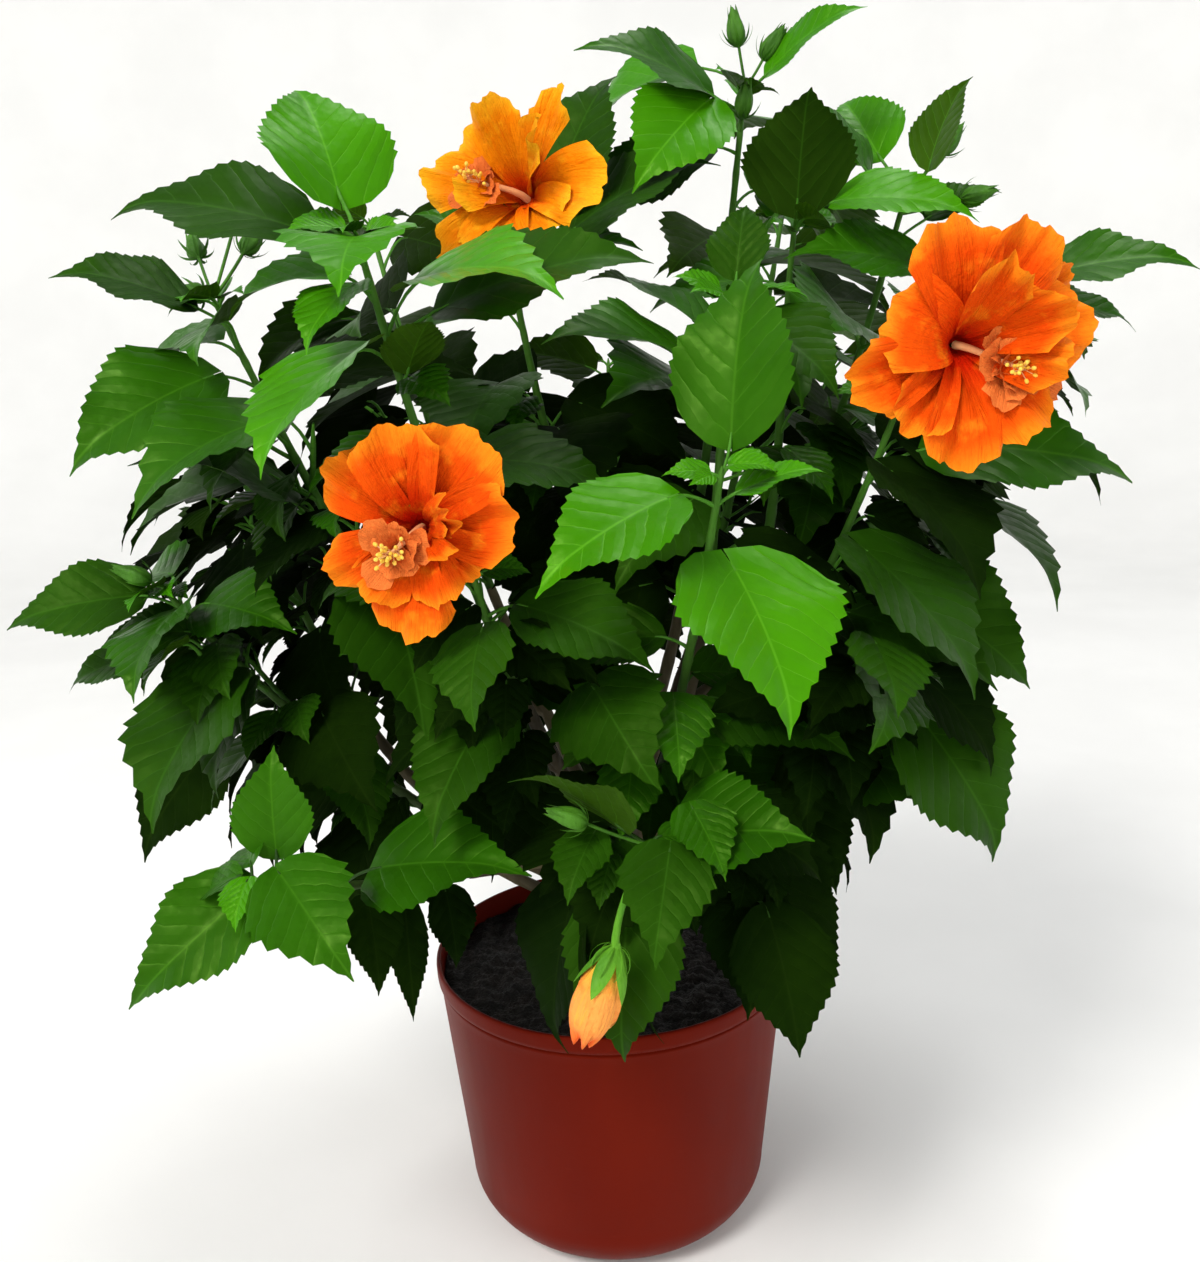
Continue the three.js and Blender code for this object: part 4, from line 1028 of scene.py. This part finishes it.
def build_stems():
    """The green stems in the foliage, swollen a little where leaves leave them."""
    # The stems are darker lower down: partly painted shade inside the crown, partly the young growth's own
    # brighter green higher up.
    skin = bark_material(
        "green_stem", (0.02, 0.04, 0.008), (0.045, 0.09, 0.014), 18.0, 0.0005, (0.05, 0.17, 0.01)
    )
    heap = Heap()
    t = np.linspace(0, 1, 40)
    paths = np.array([world.stems[name](t) for name in SHOOTS])
    radii = mix(*STEM, t) * (1 + 0.16 * np.exp(-((np.mod(t * 14, 1) - 0.5) ** 2) / 0.01))
    radii[-1] = 0.5
    add_tubes(heap, paths, np.broadcast_to(radii, paths.shape[:2]), 8)
    heap.piece("stems", skin, "foliage")


def rough_round(radius, t, sides, length, ridges, depth):
    """A limb's radius round each ring: ridges that wander along it, and knots at even spaces."""
    turn = turns(sides)
    s = t[:, None] * length / 10
    relief = np.sin(ridges * turn + 1.6 * np.sin(0.5 * s)) + 0.7 * np.sin((ridges + 3) * turn - 0.9 * s)
    relief = relief + 0.8 * np.sin(1.9 * s + 2 * np.cos(turn))
    knots = np.exp(-((np.mod(s / 2.3, 1) - 0.5) ** 2) / 0.012)
    return radius[:, None] * (1 + depth * relief / 2.5 + 0.07 * knots)


def build_trunk_and_boughs():
    bark = bark_material("bark", (0.045, 0.035, 0.018), (0.12, 0.1, 0.05), 24.0, 0.0012)
    heap = Heap()
    t = np.linspace(0, 1, 30)
    for name in SHOOTS:
        curve, radius = tree[name]["bough"]
        add_tube(heap, curve(t), rough_round(radius(t), t, 14, 130, 4, 0.07), 14)
    t = np.linspace(0, 1, 48)
    curve, radius = tree["main_stem"]["bough"]
    rings = rough_round(radius(t) * np.where(t > 0.97, 0.8, 1), t, 40, 110, 6, 0.06)
    closed = np.concatenate([rings, np.full((1, 40), 0.2)])
    add_tube(heap, np.concatenate([curve(t), curve(1)[None]]), closed, 40)
    replaced = [n for n in NODES if n == "main_stem" or n.startswith("bough_")]
    heap.piece("trunk_and_boughs", bark, "bark", replaced)


build_leaves()
build_stalks_and_twigs()
build_stems()
build_trunk_and_boughs()


# ---------------------------------------------------------------- blooms
def in_plane(f, turn):
    """The direction at a turn in degrees, in the bloom's plane."""
    return f["across"] * math.cos(math.radians(turn)) + f["upward"] * math.sin(math.radians(turn))


def petal_grid(f, root, turn, reach, half, tilt, curl, rng, rows=18, columns=21):
    """One petal, as (1, row, column, 3). v runs from its claw to its edge and u across it. The midline
    leaves its root at tilt degrees over the bloom's plane and bends evenly to curl degrees at the
    edge, and is as long as it takes to reach out so far. The width swells as sin(1.5 v)^0.8 and the
    edge is rounded and scalloped. The outer part is thrown into one broad and one narrow wave."""
    v = np.linspace(0, 1, rows)[:, None]
    u = np.linspace(1, -1, columns)[None]
    outward = in_plane(f, turn)
    aside = np.cross(f["axis"], outward)
    lean = np.radians(mix(tilt, curl, v**0.7))
    length = reach / max(np.cos(lean).mean(), 0.35)
    along = np.concatenate([np.cos(lean), np.sin(lean)], 1)[:-1] * length / (rows - 1)
    out, rise = np.concatenate([[[0, 0]], np.cumsum(along, axis=0)]).T[..., None]
    width = half * (np.sin(1.5 * (0.03 + 0.97 * v)) ** 0.8)
    a, b, c, d = rng.random(4) * 2 * np.pi
    scallop = 0.025 * np.sin(8 * u + a) + 0.015 * np.sin(19 * u + b)
    back = (-0.26 * np.abs(u) ** 2.4 * v**3 + scallop * v**6) * length
    frill = (0.07 * np.sin(3.6 * u + c + v) + 0.04 * np.sin(9.5 * u + d + 2 * v)) * length * v**2.4
    pleat = 0.014 * np.sin(16 * u + 3 * v) * length * v
    cup = 0.3 * half * u**2 * np.sin(np.pi * v**0.7)
    normal = -outward * np.sin(lean)[..., None] + f["axis"] * np.cos(lean)[..., None]
    midline = outward * np.cos(lean)[..., None] + f["axis"] * np.sin(lean)[..., None]
    points = root + out[..., None] * outward + rise[..., None] * f["axis"] + (u * width)[..., None] * aside
    points = points + (frill + pleat + cup)[..., None] * normal + back[..., None] * midline
    uv = np.stack(np.broadcast_arrays(0.5 + 0.5 * u, v), -1)
    return points[None], uv[None]


def strip_grid(base, way, out, length, width, curl, rows=8, columns=3):
    """A narrow pointed strip, such as a bract: it starts along way, bends towards out by curl degrees
    and its width swells and closes as sin(pi t^0.7)."""
    t = np.linspace(0, 1, rows)[:, None]
    u = np.linspace(-1, 1, columns)[None]
    lean = np.radians(curl) * t
    step = length / (rows - 1)
    ahead = (np.cumsum(np.cos(lean) * step, axis=0) - step)[..., None]
    aside = (np.cumsum(np.sin(lean) * step, axis=0) - np.sin(lean[:1]) * step)[..., None]
    across = np.cross(way, out)
    half = width * (np.sin(np.pi * (0.06 + 0.94 * t) ** 0.7) + 0.04)
    hollow = out * np.cos(lean)[..., None] - way * np.sin(lean)[..., None]
    points = base + ahead * way + aside * out + (u * half)[..., None] * across
    points = points - (0.35 * half * u**2)[..., None] * hollow
    return points[None], np.stack(np.broadcast_arrays(0.5 + 0.5 * u, t), -1)[None]


def spokes(way, count, turn=0.0):
    """Directions square to a way, at equal turns round it."""
    aside = unit(np.cross(way, [0.3, 0.9, 0.31]))
    other = np.cross(way, aside)
    return around(aside, other, turn + turns(count))


def calyx_lobes(base, way, length, radius, split=0.35, phase=0.5):
    """Five calyx lobes round a way, as (1, row, column, 3) each: joined up to split of their length,
    then narrowed to a point. radius gives how far they lie from the way at each part of the length."""
    first, second = spokes(way, 4)[:2]
    s = np.linspace(0, 1, 14)[:, None] + np.zeros((1, 9))
    narrow = np.where(s < split, 1, 1 - (np.maximum(s - split, 0) / (1 - split)) ** 1.15)
    grids = []
    for lobe in range(5):
        turn = 2 * np.pi * lobe / 5 + phase + np.pi / 5 * narrow * np.linspace(1, -1, 9)
        side = around(first, second, turn)
        points = base + way * (length * s)[..., None] + side * radius(s)[..., None]
        grids.append(points[None])
    return grids


# The blooms' petals: [turn in the bloom's plane from its right, reach, half width, tilt at the root,
# curl at the edge]. Then the tuft of small petals that a double bloom carries round its anthers: its
# turn, how far it sits from the heart, and its own reach.
PETALS = {
    "bloom_top": (
        [-6, 54, 25, 45, -6], [66, 56, 13, 40, 15], [128, 48, 20, 50, 5], [174, 55, 19, 45, 12],
        [226, 58, 16, 45, -4], [256, 46, 25, 45, 2], [-40, 42, 19, 50, 5], [104, 34, 16, 70, 50],
        [28, 30, 15, 75, 52], [200, 30, 13, 65, 45],
    ),
    "bloom_left": (
        [141, 53, 19, 45, -4], [101, 51, 23, 50, 8], [52, 56, 26, 48, -4], [5, 50, 23, 45, 6],
        [-31, 40, 14, 45, 14], [205, 49, 15, 45, 2], [265, 55, 21, 45, -8], [234, 42, 17, 45, 12],
        [292, 40, 15, 50, 14], [20, 26, 11, 75, 55], [340, 24, 10, 72, 60],
    ),
    "bloom_right": (
        [104, 61, 24, 50, -2], [60, 64, 20, 48, 4], [30, 64, 15, 30, -8], [8, 60, 23, 48, 4],
        [160, 44, 25, 82, -28], [199, 62, 20, 42, -4], [232, 52, 17, 42, 10], [268, 61, 22, 48, -4],
        [308, 56, 22, 42, 14], [-14, 42, 17, 60, 40], [24, 40, 16, 68, 46], [80, 36, 15, 72, 52],
    ),
}
TUFTS = {"bloom_top": (182, 22, 22), "bloom_left": (229, 13, 22), "bloom_right": (-28, 24, 26)}


def build_bloom(name, bloom, colours):
    """A double bloom: broad ruffled petals from its heart, and a tuft of small petals on its column."""
    f = bloom_frame(bloom)
    rng = np.random.default_rng(int(bloom["radius"]))
    petals = Heap()
    for turn, reach, half, tilt, curl in PETALS[name]:
        root = f["back"] + 4 * in_plane(f, turn)
        petals.add(*petal_grid(f, root, turn, reach - 4, half, tilt, curl, rng))
    throat = np.linspace(0.1, 1, 6)[:, None] + np.zeros((1, 24))
    turn = turns(24) + np.zeros((6, 1))
    side = around(f["across"], f["upward"], turn)
    cone = f["back"] + side * (11 * throat)[..., None] + f["axis"] * (12 * throat**2 - 5)[..., None]
    petals.add(cone[None], np.stack([turn / 6.3, 0.1 * throat], -1)[None], wrap=True)
    petals.piece(f"{name}_petals", petal_material(f"{name}_petal", *colours), "petals", [name])
    calyx = Heap()
    t = np.linspace(0, 1, 14)
    stalk = bloom_stalk(bloom, world.stems[bloom["shoot"]])[0]
    path = stalk(t) - f["axis"] * 9 * smooth(0.5, 1, t)[:, None]
    add_tube(calyx, path, mix(1.6, 2.6, t**2), 8)
    for grid in calyx_lobes(f["back"] - f["axis"] * 11, f["axis"], 21, lambda s: 2 + 10 * s**0.7):
        calyx.add(grid, 0)
    for out in spokes(f["axis"], 7):
        calyx.add(*strip_grid(path[-1] + out * 2, unit(out - f["axis"] * 0.2), f["axis"], 17, 0.9, 60))
    calyx.piece(f"{name}_calyx", CALYX_GREEN, "foliage")
    turn, away, reach = TUFTS[name]
    way = in_plane(f, turn)
    top = f["back"] + f["axis"] * 20 + way * away
    tuft = Heap()
    for k in range(11):
        inner = k / 10
        size = reach * mix(1, 0.55, inner) * rng.uniform(0.85, 1.15)
        root = top - f["axis"] * 7
        tilt, curl = mix(20, 65, inner), mix(15, 75, inner) + rng.uniform(-12, 12)
        size = size * max(math.cos(math.radians(0.5 * (tilt + curl))), 0.35)
        spin = turn + RULE["golden"] * k
        tuft.add(*petal_grid(f, root, spin, size, reach * 0.42, tilt, curl, rng, 9, 11))
    tuft.piece(f"{name}_tuft", petal_material(f"{name}_tuft_petal", colours[1], PEACH, PEACH), "petals")
    stamens, anthers = Heap(), Heap()
    end = top + f["axis"] * 9 + way * 3
    t = np.linspace(0, 1, 8)
    column = bezier(f["back"], f["back"] + f["axis"] * 14, top, end)
    add_tube(stamens, column(t), mix(2.2, 0.9, t), 8)
    starts = column(rng.uniform(0.7, 1, 30))
    spread = unit(rng.normal(size=(30, 3)) + f["axis"] * 1.2 + way * 0.4)
    ends = starts + spread * rng.uniform(4, 9, 30)[:, None]
    threads = starts[:, None] + (ends - starts)[:, None] * np.linspace(0, 1, 3)[None, :, None]
    add_tubes(stamens, threads, np.full((30, 3), 0.3), 4)
    add_balls(anthers, ends, unit(ends - starts), 1.1, 1.4)
    stamens.piece(f"{name}_column", COLUMN, "petals")
    anthers.piece(f"{name}_anthers", ANTHER, "petals")


def add_balls(heap, centres, ways, across, along, rows=6, sides=7):
    """Small rounded bodies: rings of radius across times sin(t) at along times cos(t) on the way."""
    t = np.linspace(0, np.pi, rows)
    paths = centres[:, None] - ways[:, None] * (along * np.cos(t))[None, :, None]
    radii = np.broadcast_to(np.maximum(across * np.sin(t), 0.02), paths.shape[:2])
    add_tubes(heap, paths, radii, sides)


CALYX_GREEN = bark_material("calyx_green", (0.05, 0.2, 0.006), (0.11, 0.33, 0.012), 60.0, 0.0003)
COLUMN = bark_material("style_column", (0.75, 0.3, 0.12), (0.85, 0.5, 0.22), 60.0, 0.0002)
ANTHER = bark_material("anther", (0.8, 0.45, 0.04), (0.95, 0.7, 0.12), 200.0, 0.0002)
PEACH = (0.86, 0.2, 0.04)
ORANGE = ((0.66, 0.012, 0.001), (0.76, 0.075, 0.002), (0.92, 0.26, 0.01))
GOLDEN = ((0.74, 0.05, 0.001), (0.84, 0.23, 0.002), (0.95, 0.45, 0.012))
for name, colours in (("bloom_top", GOLDEN), ("bloom_left", ORANGE), ("bloom_right", ORANGE)):
    build_bloom(name, BLOOMS[name], colours)


def build_closed_buds():
    """Ribbed pointed bodies in their calyxes, each with thin bracts that spread below it."""
    skin = bark_material("bud_green", (0.03, 0.11, 0.005), (0.06, 0.2, 0.01), 60.0, 0.0003)
    heap = Heap()
    t = np.linspace(0, 1, 9)
    profile = 0.4 + 4.9 * np.sin(np.pi * t**0.72) ** 0.8
    ribs = 1 + 0.16 * np.cos(5 * 2 * np.pi * np.arange(20) / 20)[None]
    for _, item in grown("bud"):
        foot, tip = item["foot"], item["tip"]
        way = unit(tip - foot)
        neck = tip - way * 21
        stalk = bezier(foot, mix(foot, neck, 0.5) + (0, 0, -1.5), neck)
        add_tube(heap, stalk(t), np.full(9, 0.95), 6)
        add_tube(heap, neck + way * (24 * t)[:, None], profile[:, None] * ribs, 20)
        for out in spokes(way, 7):
            start = unit(way * 0.25 + out)
            aside = unit(way - start * (way @ start))
            heap.add(*strip_grid(neck + way + out * 1.5, start, aside, 15, 0.95, 62))
        for out in spokes(way, 5, 0.3):
            heap.add(*strip_grid(neck + way * 8 + out * 4.4, way, out, 17, 2.3, -10))
    heap.piece("closed_buds", skin, "foliage")


build_closed_buds()

# The opening bud: its stalk, the way it points and the directions square to that, its length from
# the calyx to its open end, the part of that where it is widest, and the part its lobes cover.
(stalk, _), _ = opening_bud_limbs(world.stems[OPENING_BUD["shoot"]])
top, tip = (np.array(OPENING_BUD[k], float) for k in ("top", "tip"))
way = unit(tip - top)
first, second = spokes(way, 4)[:2]
BUD_LENGTH, BUD_WIDEST, LOBES = 55, 0.62, 0.52


def bud_radius(t):
    """The furled petals' radius: a quarter sine up to the widest place, then a blunt fall."""
    rise = np.sin(0.5 * np.pi * np.clip(t / BUD_WIDEST, 0.03, 1)) ** 0.75
    return 13.2 * rise * (1 - 0.62 * np.maximum((t - BUD_WIDEST) / (1 - BUD_WIDEST), 0) ** 2.2)


def round_bud(t, turn, radius):
    """Points at part t of the bud's length, at a turn round its way and a radius from it."""
    side = around(first, second, turn)
    return top - way * 3 + way * (BUD_LENGTH * t)[..., None] + side * radius[..., None]


def round_lobes(s):
    """How far the lobes lie from the way: on the petals, drawn in at the foot and free at the tip."""
    return bud_radius(LOBES * s) * 1.02 + 0.7 - 0.9 * (1 - s) ** 6 + 0.8 * s**4


def build_furled_petals():
    """Five petals wound round each other: the radius climbs over each petal and drops at the next
    one's edge, and the edges wind forward along the bud; its open end turns in."""
    t = np.linspace(0, 1, 30)[:, None] + np.zeros((1, 80))
    turn = turns(80) + np.zeros((30, 1))
    over = np.mod(5 * turn / (2 * np.pi) + 1.3 * t, 1)
    folds = 0.86 + 0.16 * over**0.8 * smooth(1, 0.9, over) + 0.02 * np.sin(25 * turn + 5 * t)
    lip = t + 0.05 * np.sin(5 * turn + 8 * t) * smooth(0.8, 1, t)
    outside = round_bud(lip, turn, bud_radius(t) * folds)
    turned_in = lip[-1:] - np.array([[0.03], [0.12], [0.2]])
    narrowed = bud_radius(t[-1:]) * folds[-1:] * np.array([[0.75], [0.5], [0.04]])
    inside = round_bud(turned_in, turn[:3], narrowed)
    uv = np.stack([turn / (2 * np.pi), t], -1)
    inner_uv = np.stack([turn[:3] / (2 * np.pi), 1.2 + 0 * turn[:3]], -1)
    heap = Heap()
    heap.add(np.concatenate([outside, inside])[None], np.concatenate([uv, inner_uv])[None], wrap=True)
    skin = petal_material("furled_petal", (0.72, 0.5, 0.03), (0.88, 0.33, 0.07), (0.85, 0.09, 0.012))
    heap.piece("opening_bud_petals", skin, "petals", ["opening_bud"])


def build_opening_calyx():
    """A cup that splits into five pointed lobes lying on the petals, with curled bracts."""
    heap = Heap()
    t = np.linspace(0, 1, 12)
    add_tube(heap, stalk(t), mix(1.5, 2.3, t**3), 8)
    for grid in calyx_lobes(top - way * 4.6, way, LOBES * BUD_LENGTH, round_lobes):
        heap.add(grid, 0)
    for k, out in enumerate(spokes(way, 8, 0.2)):
        start = unit(out + way * 0.1)
        heap.add(*strip_grid(top - way * 2 + out * 3, start, way, 22, 0.75, 150 - 12 * (k % 3), 12))
    heap.piece("opening_bud_calyx", CALYX_GREEN, "foliage")


build_furled_petals()
build_opening_calyx()


# ---------------------------------------------------------------- pot and potting mix
def pot_profile():
    """The pot's section as rows of (radius, height), from the middle of the underside, round the
    foot, up the wall, over the rolled lip and down inside to the middle of the floor."""
    across, up = POT["round"]
    rim, top = POT["rim"], POT["height"]
    slope = (POT["shoulder"] - POT["foot"]) / (top - up)

    def wall(z):
        return POT["shoulder"] - slope * (top - z)

    a = np.linspace(0, np.pi / 2, 18)
    foot = np.stack([POT["foot"] - across * (1 - np.sin(a)), up * (1 - np.cos(a))], 1)
    band = top - POT["band"]
    z = np.linspace(up + 6, band - 4, 26)
    side = np.stack([wall(z), z], 1)
    r = wall(band)
    deep = r - POT["groove"]
    groove = [(r, band - 2.6), (r - 0.5, band - 2.1), (deep, band - 1.6), (deep, band - 0.7)]
    lip = [
        (rim - 1.5, band - 0.1), (rim - 0.7, band + 0.5), (rim - 0.4, band + 3), (rim - 0.15, top - 3),
        (rim - 0.3, top - 1), (rim - 0.9, top - 0.2), (rim - 1.8, top), (rim - 2.8, top - 0.3),
        (rim - 3.3, top - 1.2),
    ]
    z = np.linspace(top - 4, 150, 8)
    inside = np.stack([wall(z) - POT["wall"], z], 1)
    flat = [(0.5, 0), (30, 0), (55, 0)]
    return np.concatenate([flat, foot, side, groove, lip, inside])


def pot_grid(columns=192, outer_rows=60):
    """The pot's section turned about Z, the notches raised in its foot, and its outside, which is the
    first outer_rows of the section, a touch out of round."""
    profile = pot_profile()
    turn = turns(columns)
    radius, height = (profile[:, k, None] + np.zeros(columns) for k in (0, 1))
    outside = np.arange(len(profile))[:, None] < outer_rows
    for k in range(POT["notches"]):
        middle = math.radians(POT["notch_azimuth"] + 90 * k)
        beside = np.abs((turn - middle + np.pi) % (2 * np.pi) - np.pi)[None] * radius
        arch = smooth(POT["notch_half"] + 2, POT["notch_half"] - 1, beside) * smooth(60, 66, radius)
        height = np.where(outside, np.maximum(height, POT["notch_height"] * arch), height)
    out = radius + 0.16 * np.sin(2 * turn + 0.6)[None] * smooth(20, 120, profile[:, 1:]) * outside
    u, v = np.meshgrid(np.arange(columns) / columns, profile[:, 1] / POT["height"])
    return np.stack([out * np.cos(turn), out * np.sin(turn), height], -1)[None], np.stack([u, v], -1)[None]


def pot_plastic():
    """Moulded plastic: faint blotches, streaks down the wall and a few paler scuffs."""
    tint = rgb(1, 0.25, 0.12)
    made, t, shader, place = material("pot_plastic", specular_ior_level=0.14, specular_tint=tint)
    mottle = use(t, MOTTLE, Vector=place, Broad=7.0, Fine=900.0)
    streaks = t.noise(t.stretched(place, (9, 9, 1.2)), 3.0, 5.0, 0.6)
    scuffs = t.ramp(t.noise(t.stretched(place, (14, 14, 60)), 4.0, 6.0, 0.65), 0.6, 0.72)
    colour = t.blend(mottle["Blotch"], rgb(0.098, 0.0045, 0.0012), rgb(0.12, 0.0062, 0.0017))
    colour = t.blend(t.ramp(streaks, 0.45, 0.75, 0.0, 0.3), colour, rgb(0.13, 0.009, 0.003))
    colour = t.blend(t.math("MULTIPLY", scuffs, 0.1), colour, rgb(0.18, 0.025, 0.012))
    t.fill(shader, {"Base Color": colour, "Roughness": t.ramp(streaks, 0.3, 0.7, 0.46, 0.58)})
    bumped(t, shader, mottle["Grain"], 0.0002, 0.5)
    return made


def soil_grid():
    """The top of the potting mix: a disc of rings, raised by lumps of three sizes and heaped a
    little round the foot of the stem, then its side, turned down along the pot's wall."""
    rng = np.random.default_rng(3)
    r = np.concatenate([[SOIL_RADIUS + 0.1], np.linspace(SOIL_RADIUS, 0.5, 70)])[:, None]
    a = turns(220)[None]
    x, y = r * np.cos(a), r * np.sin(a)
    height = 0 * x
    for size, depth in ((26, 1.6), (11, 1.1), (4.5, 0.9)):
        for _ in range(7):
            k = rng.normal(size=2) / size * 2.2
            height = height + depth * 0.38 * np.sin(k[0] * x + k[1] * y + rng.uniform(0, 6.28))
    height = height + 5 * np.exp(-((r / 30) ** 2)) + rng.normal(size=x.shape) * 0.35
    height = SOIL_LEVEL + np.minimum(height, 7)
    height[0] = SOIL_LEVEL - 8
    return np.stack([x, y, height], -1)[None], np.stack([x, y], -1)[None] / 100


soil = bark_material("potting_mix", (0.002, 0.0015, 0.001), (0.009, 0.006, 0.004), 60.0, 0.0025)
for name, grid, skin, slot, replaced in (
    ("nursery_pot", pot_grid(), pot_plastic(), "pot_plastic", "pot"),
    ("potting_mix_top", soil_grid(), soil, "potting_mix", "potting_soil"),
):
    heap = Heap()
    heap.add(*grid, wrap=True)
    heap.piece(name, skin, slot, [replaced])


# ---------------------------------------------------------------- floor, light and camera
def floor_skin():
    """A pale matt floor with hardly any blotches."""
    made, t, shader, place = material("floor", roughness=0.7)
    blotch = t.ramp(t.noise(place, 3.0), 0.3, 0.7)
    colour = t.blend(blotch, rgb(0.86, 0.86, 0.85), rgb(0.9, 0.9, 0.89))
    t.fill(shader, {"Base Color": colour})
    return made


def studio_bowl(disc=3, bend=1.2, wall=3.2):
    """A round floor that turns up into a wall all round, in metres: a flat disc, then a quarter
    circle of radius bend and a straight wall up to its height, turned about Z."""
    a = np.linspace(0, np.pi / 2, 16)
    flat = np.stack([np.linspace(0.001, disc, 12), np.zeros(12)], 1)
    quarter = np.stack([disc + bend * np.sin(a), bend * (1 - np.cos(a))], 1)
    profile = np.concatenate([flat, quarter[1:], [(disc + bend, wall - 1), (disc + bend, wall)]])
    turn = -turns(96)
    r, z = profile[:, :1], profile[:, 1:]
    return np.stack([r * np.cos(turn), r * np.sin(turn), z + 0 * turn], -1)


mesh = bpy.data.meshes.new("floor")
bowl = studio_bowl()
mesh.from_pydata(bowl.reshape(-1, 3).tolist(), [], grid_quads(1, *bowl.shape[:2], wrap=True).tolist())
mesh.shade_smooth()
mesh.materials.append(floor_skin())
put("floor", mesh)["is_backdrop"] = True

world_light = bpy.data.worlds.new("studio")
world_light.use_nodes = True
background = world_light.node_tree.nodes["Background"]
background.inputs["Color"].default_value = rgb(0.95, 0.97, 1.0)
background.inputs["Strength"].default_value = 0.33
bpy.context.scene.world = world_light


def frame_matrix(x, y, z, place):
    """The matrix whose axes are x, y and z, at a place."""
    return Matrix([[x[i], y[i], z[i], place[i]] for i in range(3)] + [[0, 0, 0, 1]])


def add_light(name, place, target, size, power, colour):
    """A square area light at a place that faces a target."""
    lamp = bpy.data.lights.new(name, "AREA")
    lamp.size, lamp.energy, lamp.color = size, power, colour
    z = unit(np.array(place, float) - np.array(target, float))
    x = unit(np.cross([0, 0, 1], z))
    put(name, lamp).matrix_world = frame_matrix(x, np.cross(z, x), z, place)


add_light("key", (-2.0, -2.9, 3.9), (0, 0, 0.5), 1.5, 185, (1, 0.98, 0.94))
add_light("top", (0.6, 0.8, 4.2), (0, 0, 0.5), 1.8, 52, (1, 1, 1))
add_light("fill", (2.6, -2.2, 1.6), (0, 0, 0.45), 1.8, 10, (0.95, 0.98, 1))

# The camera looks along +Y from in front of the plant, down by its pitch and turned by its roll.
CAMERA = {"pitch": 13, "roll": 2, "place": (0, -0.801, 0.621), "focal_share": 1185 / 1262, "sensor": 36}
pitch, roll = math.radians(CAMERA["pitch"]), math.radians(CAMERA["roll"])
ahead = np.array([0, math.cos(pitch), -math.sin(pitch)])
right, above = np.array([1.0, 0, 0]), np.array([0, math.sin(pitch), math.cos(pitch)])
x = right * math.cos(roll) - above * math.sin(roll)
y = right * math.sin(roll) + above * math.cos(roll)
lens = bpy.data.cameras.new("camera")
lens.sensor_width, lens.clip_start = CAMERA["sensor"], 0.02
lens.lens = CAMERA["sensor"] * CAMERA["focal_share"]
camera = put("camera", lens)
camera.matrix_world = frame_matrix(x, y, -ahead, CAMERA["place"])
bpy.context.scene.camera = camera
bpy.context.scene.view_settings.view_transform = "Standard"

sizes = {"cad": CAD_BOX, "visual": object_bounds()}
sizes = {key: [[float(x) for x in corner] for corner in box] for key, box in sizes.items()}
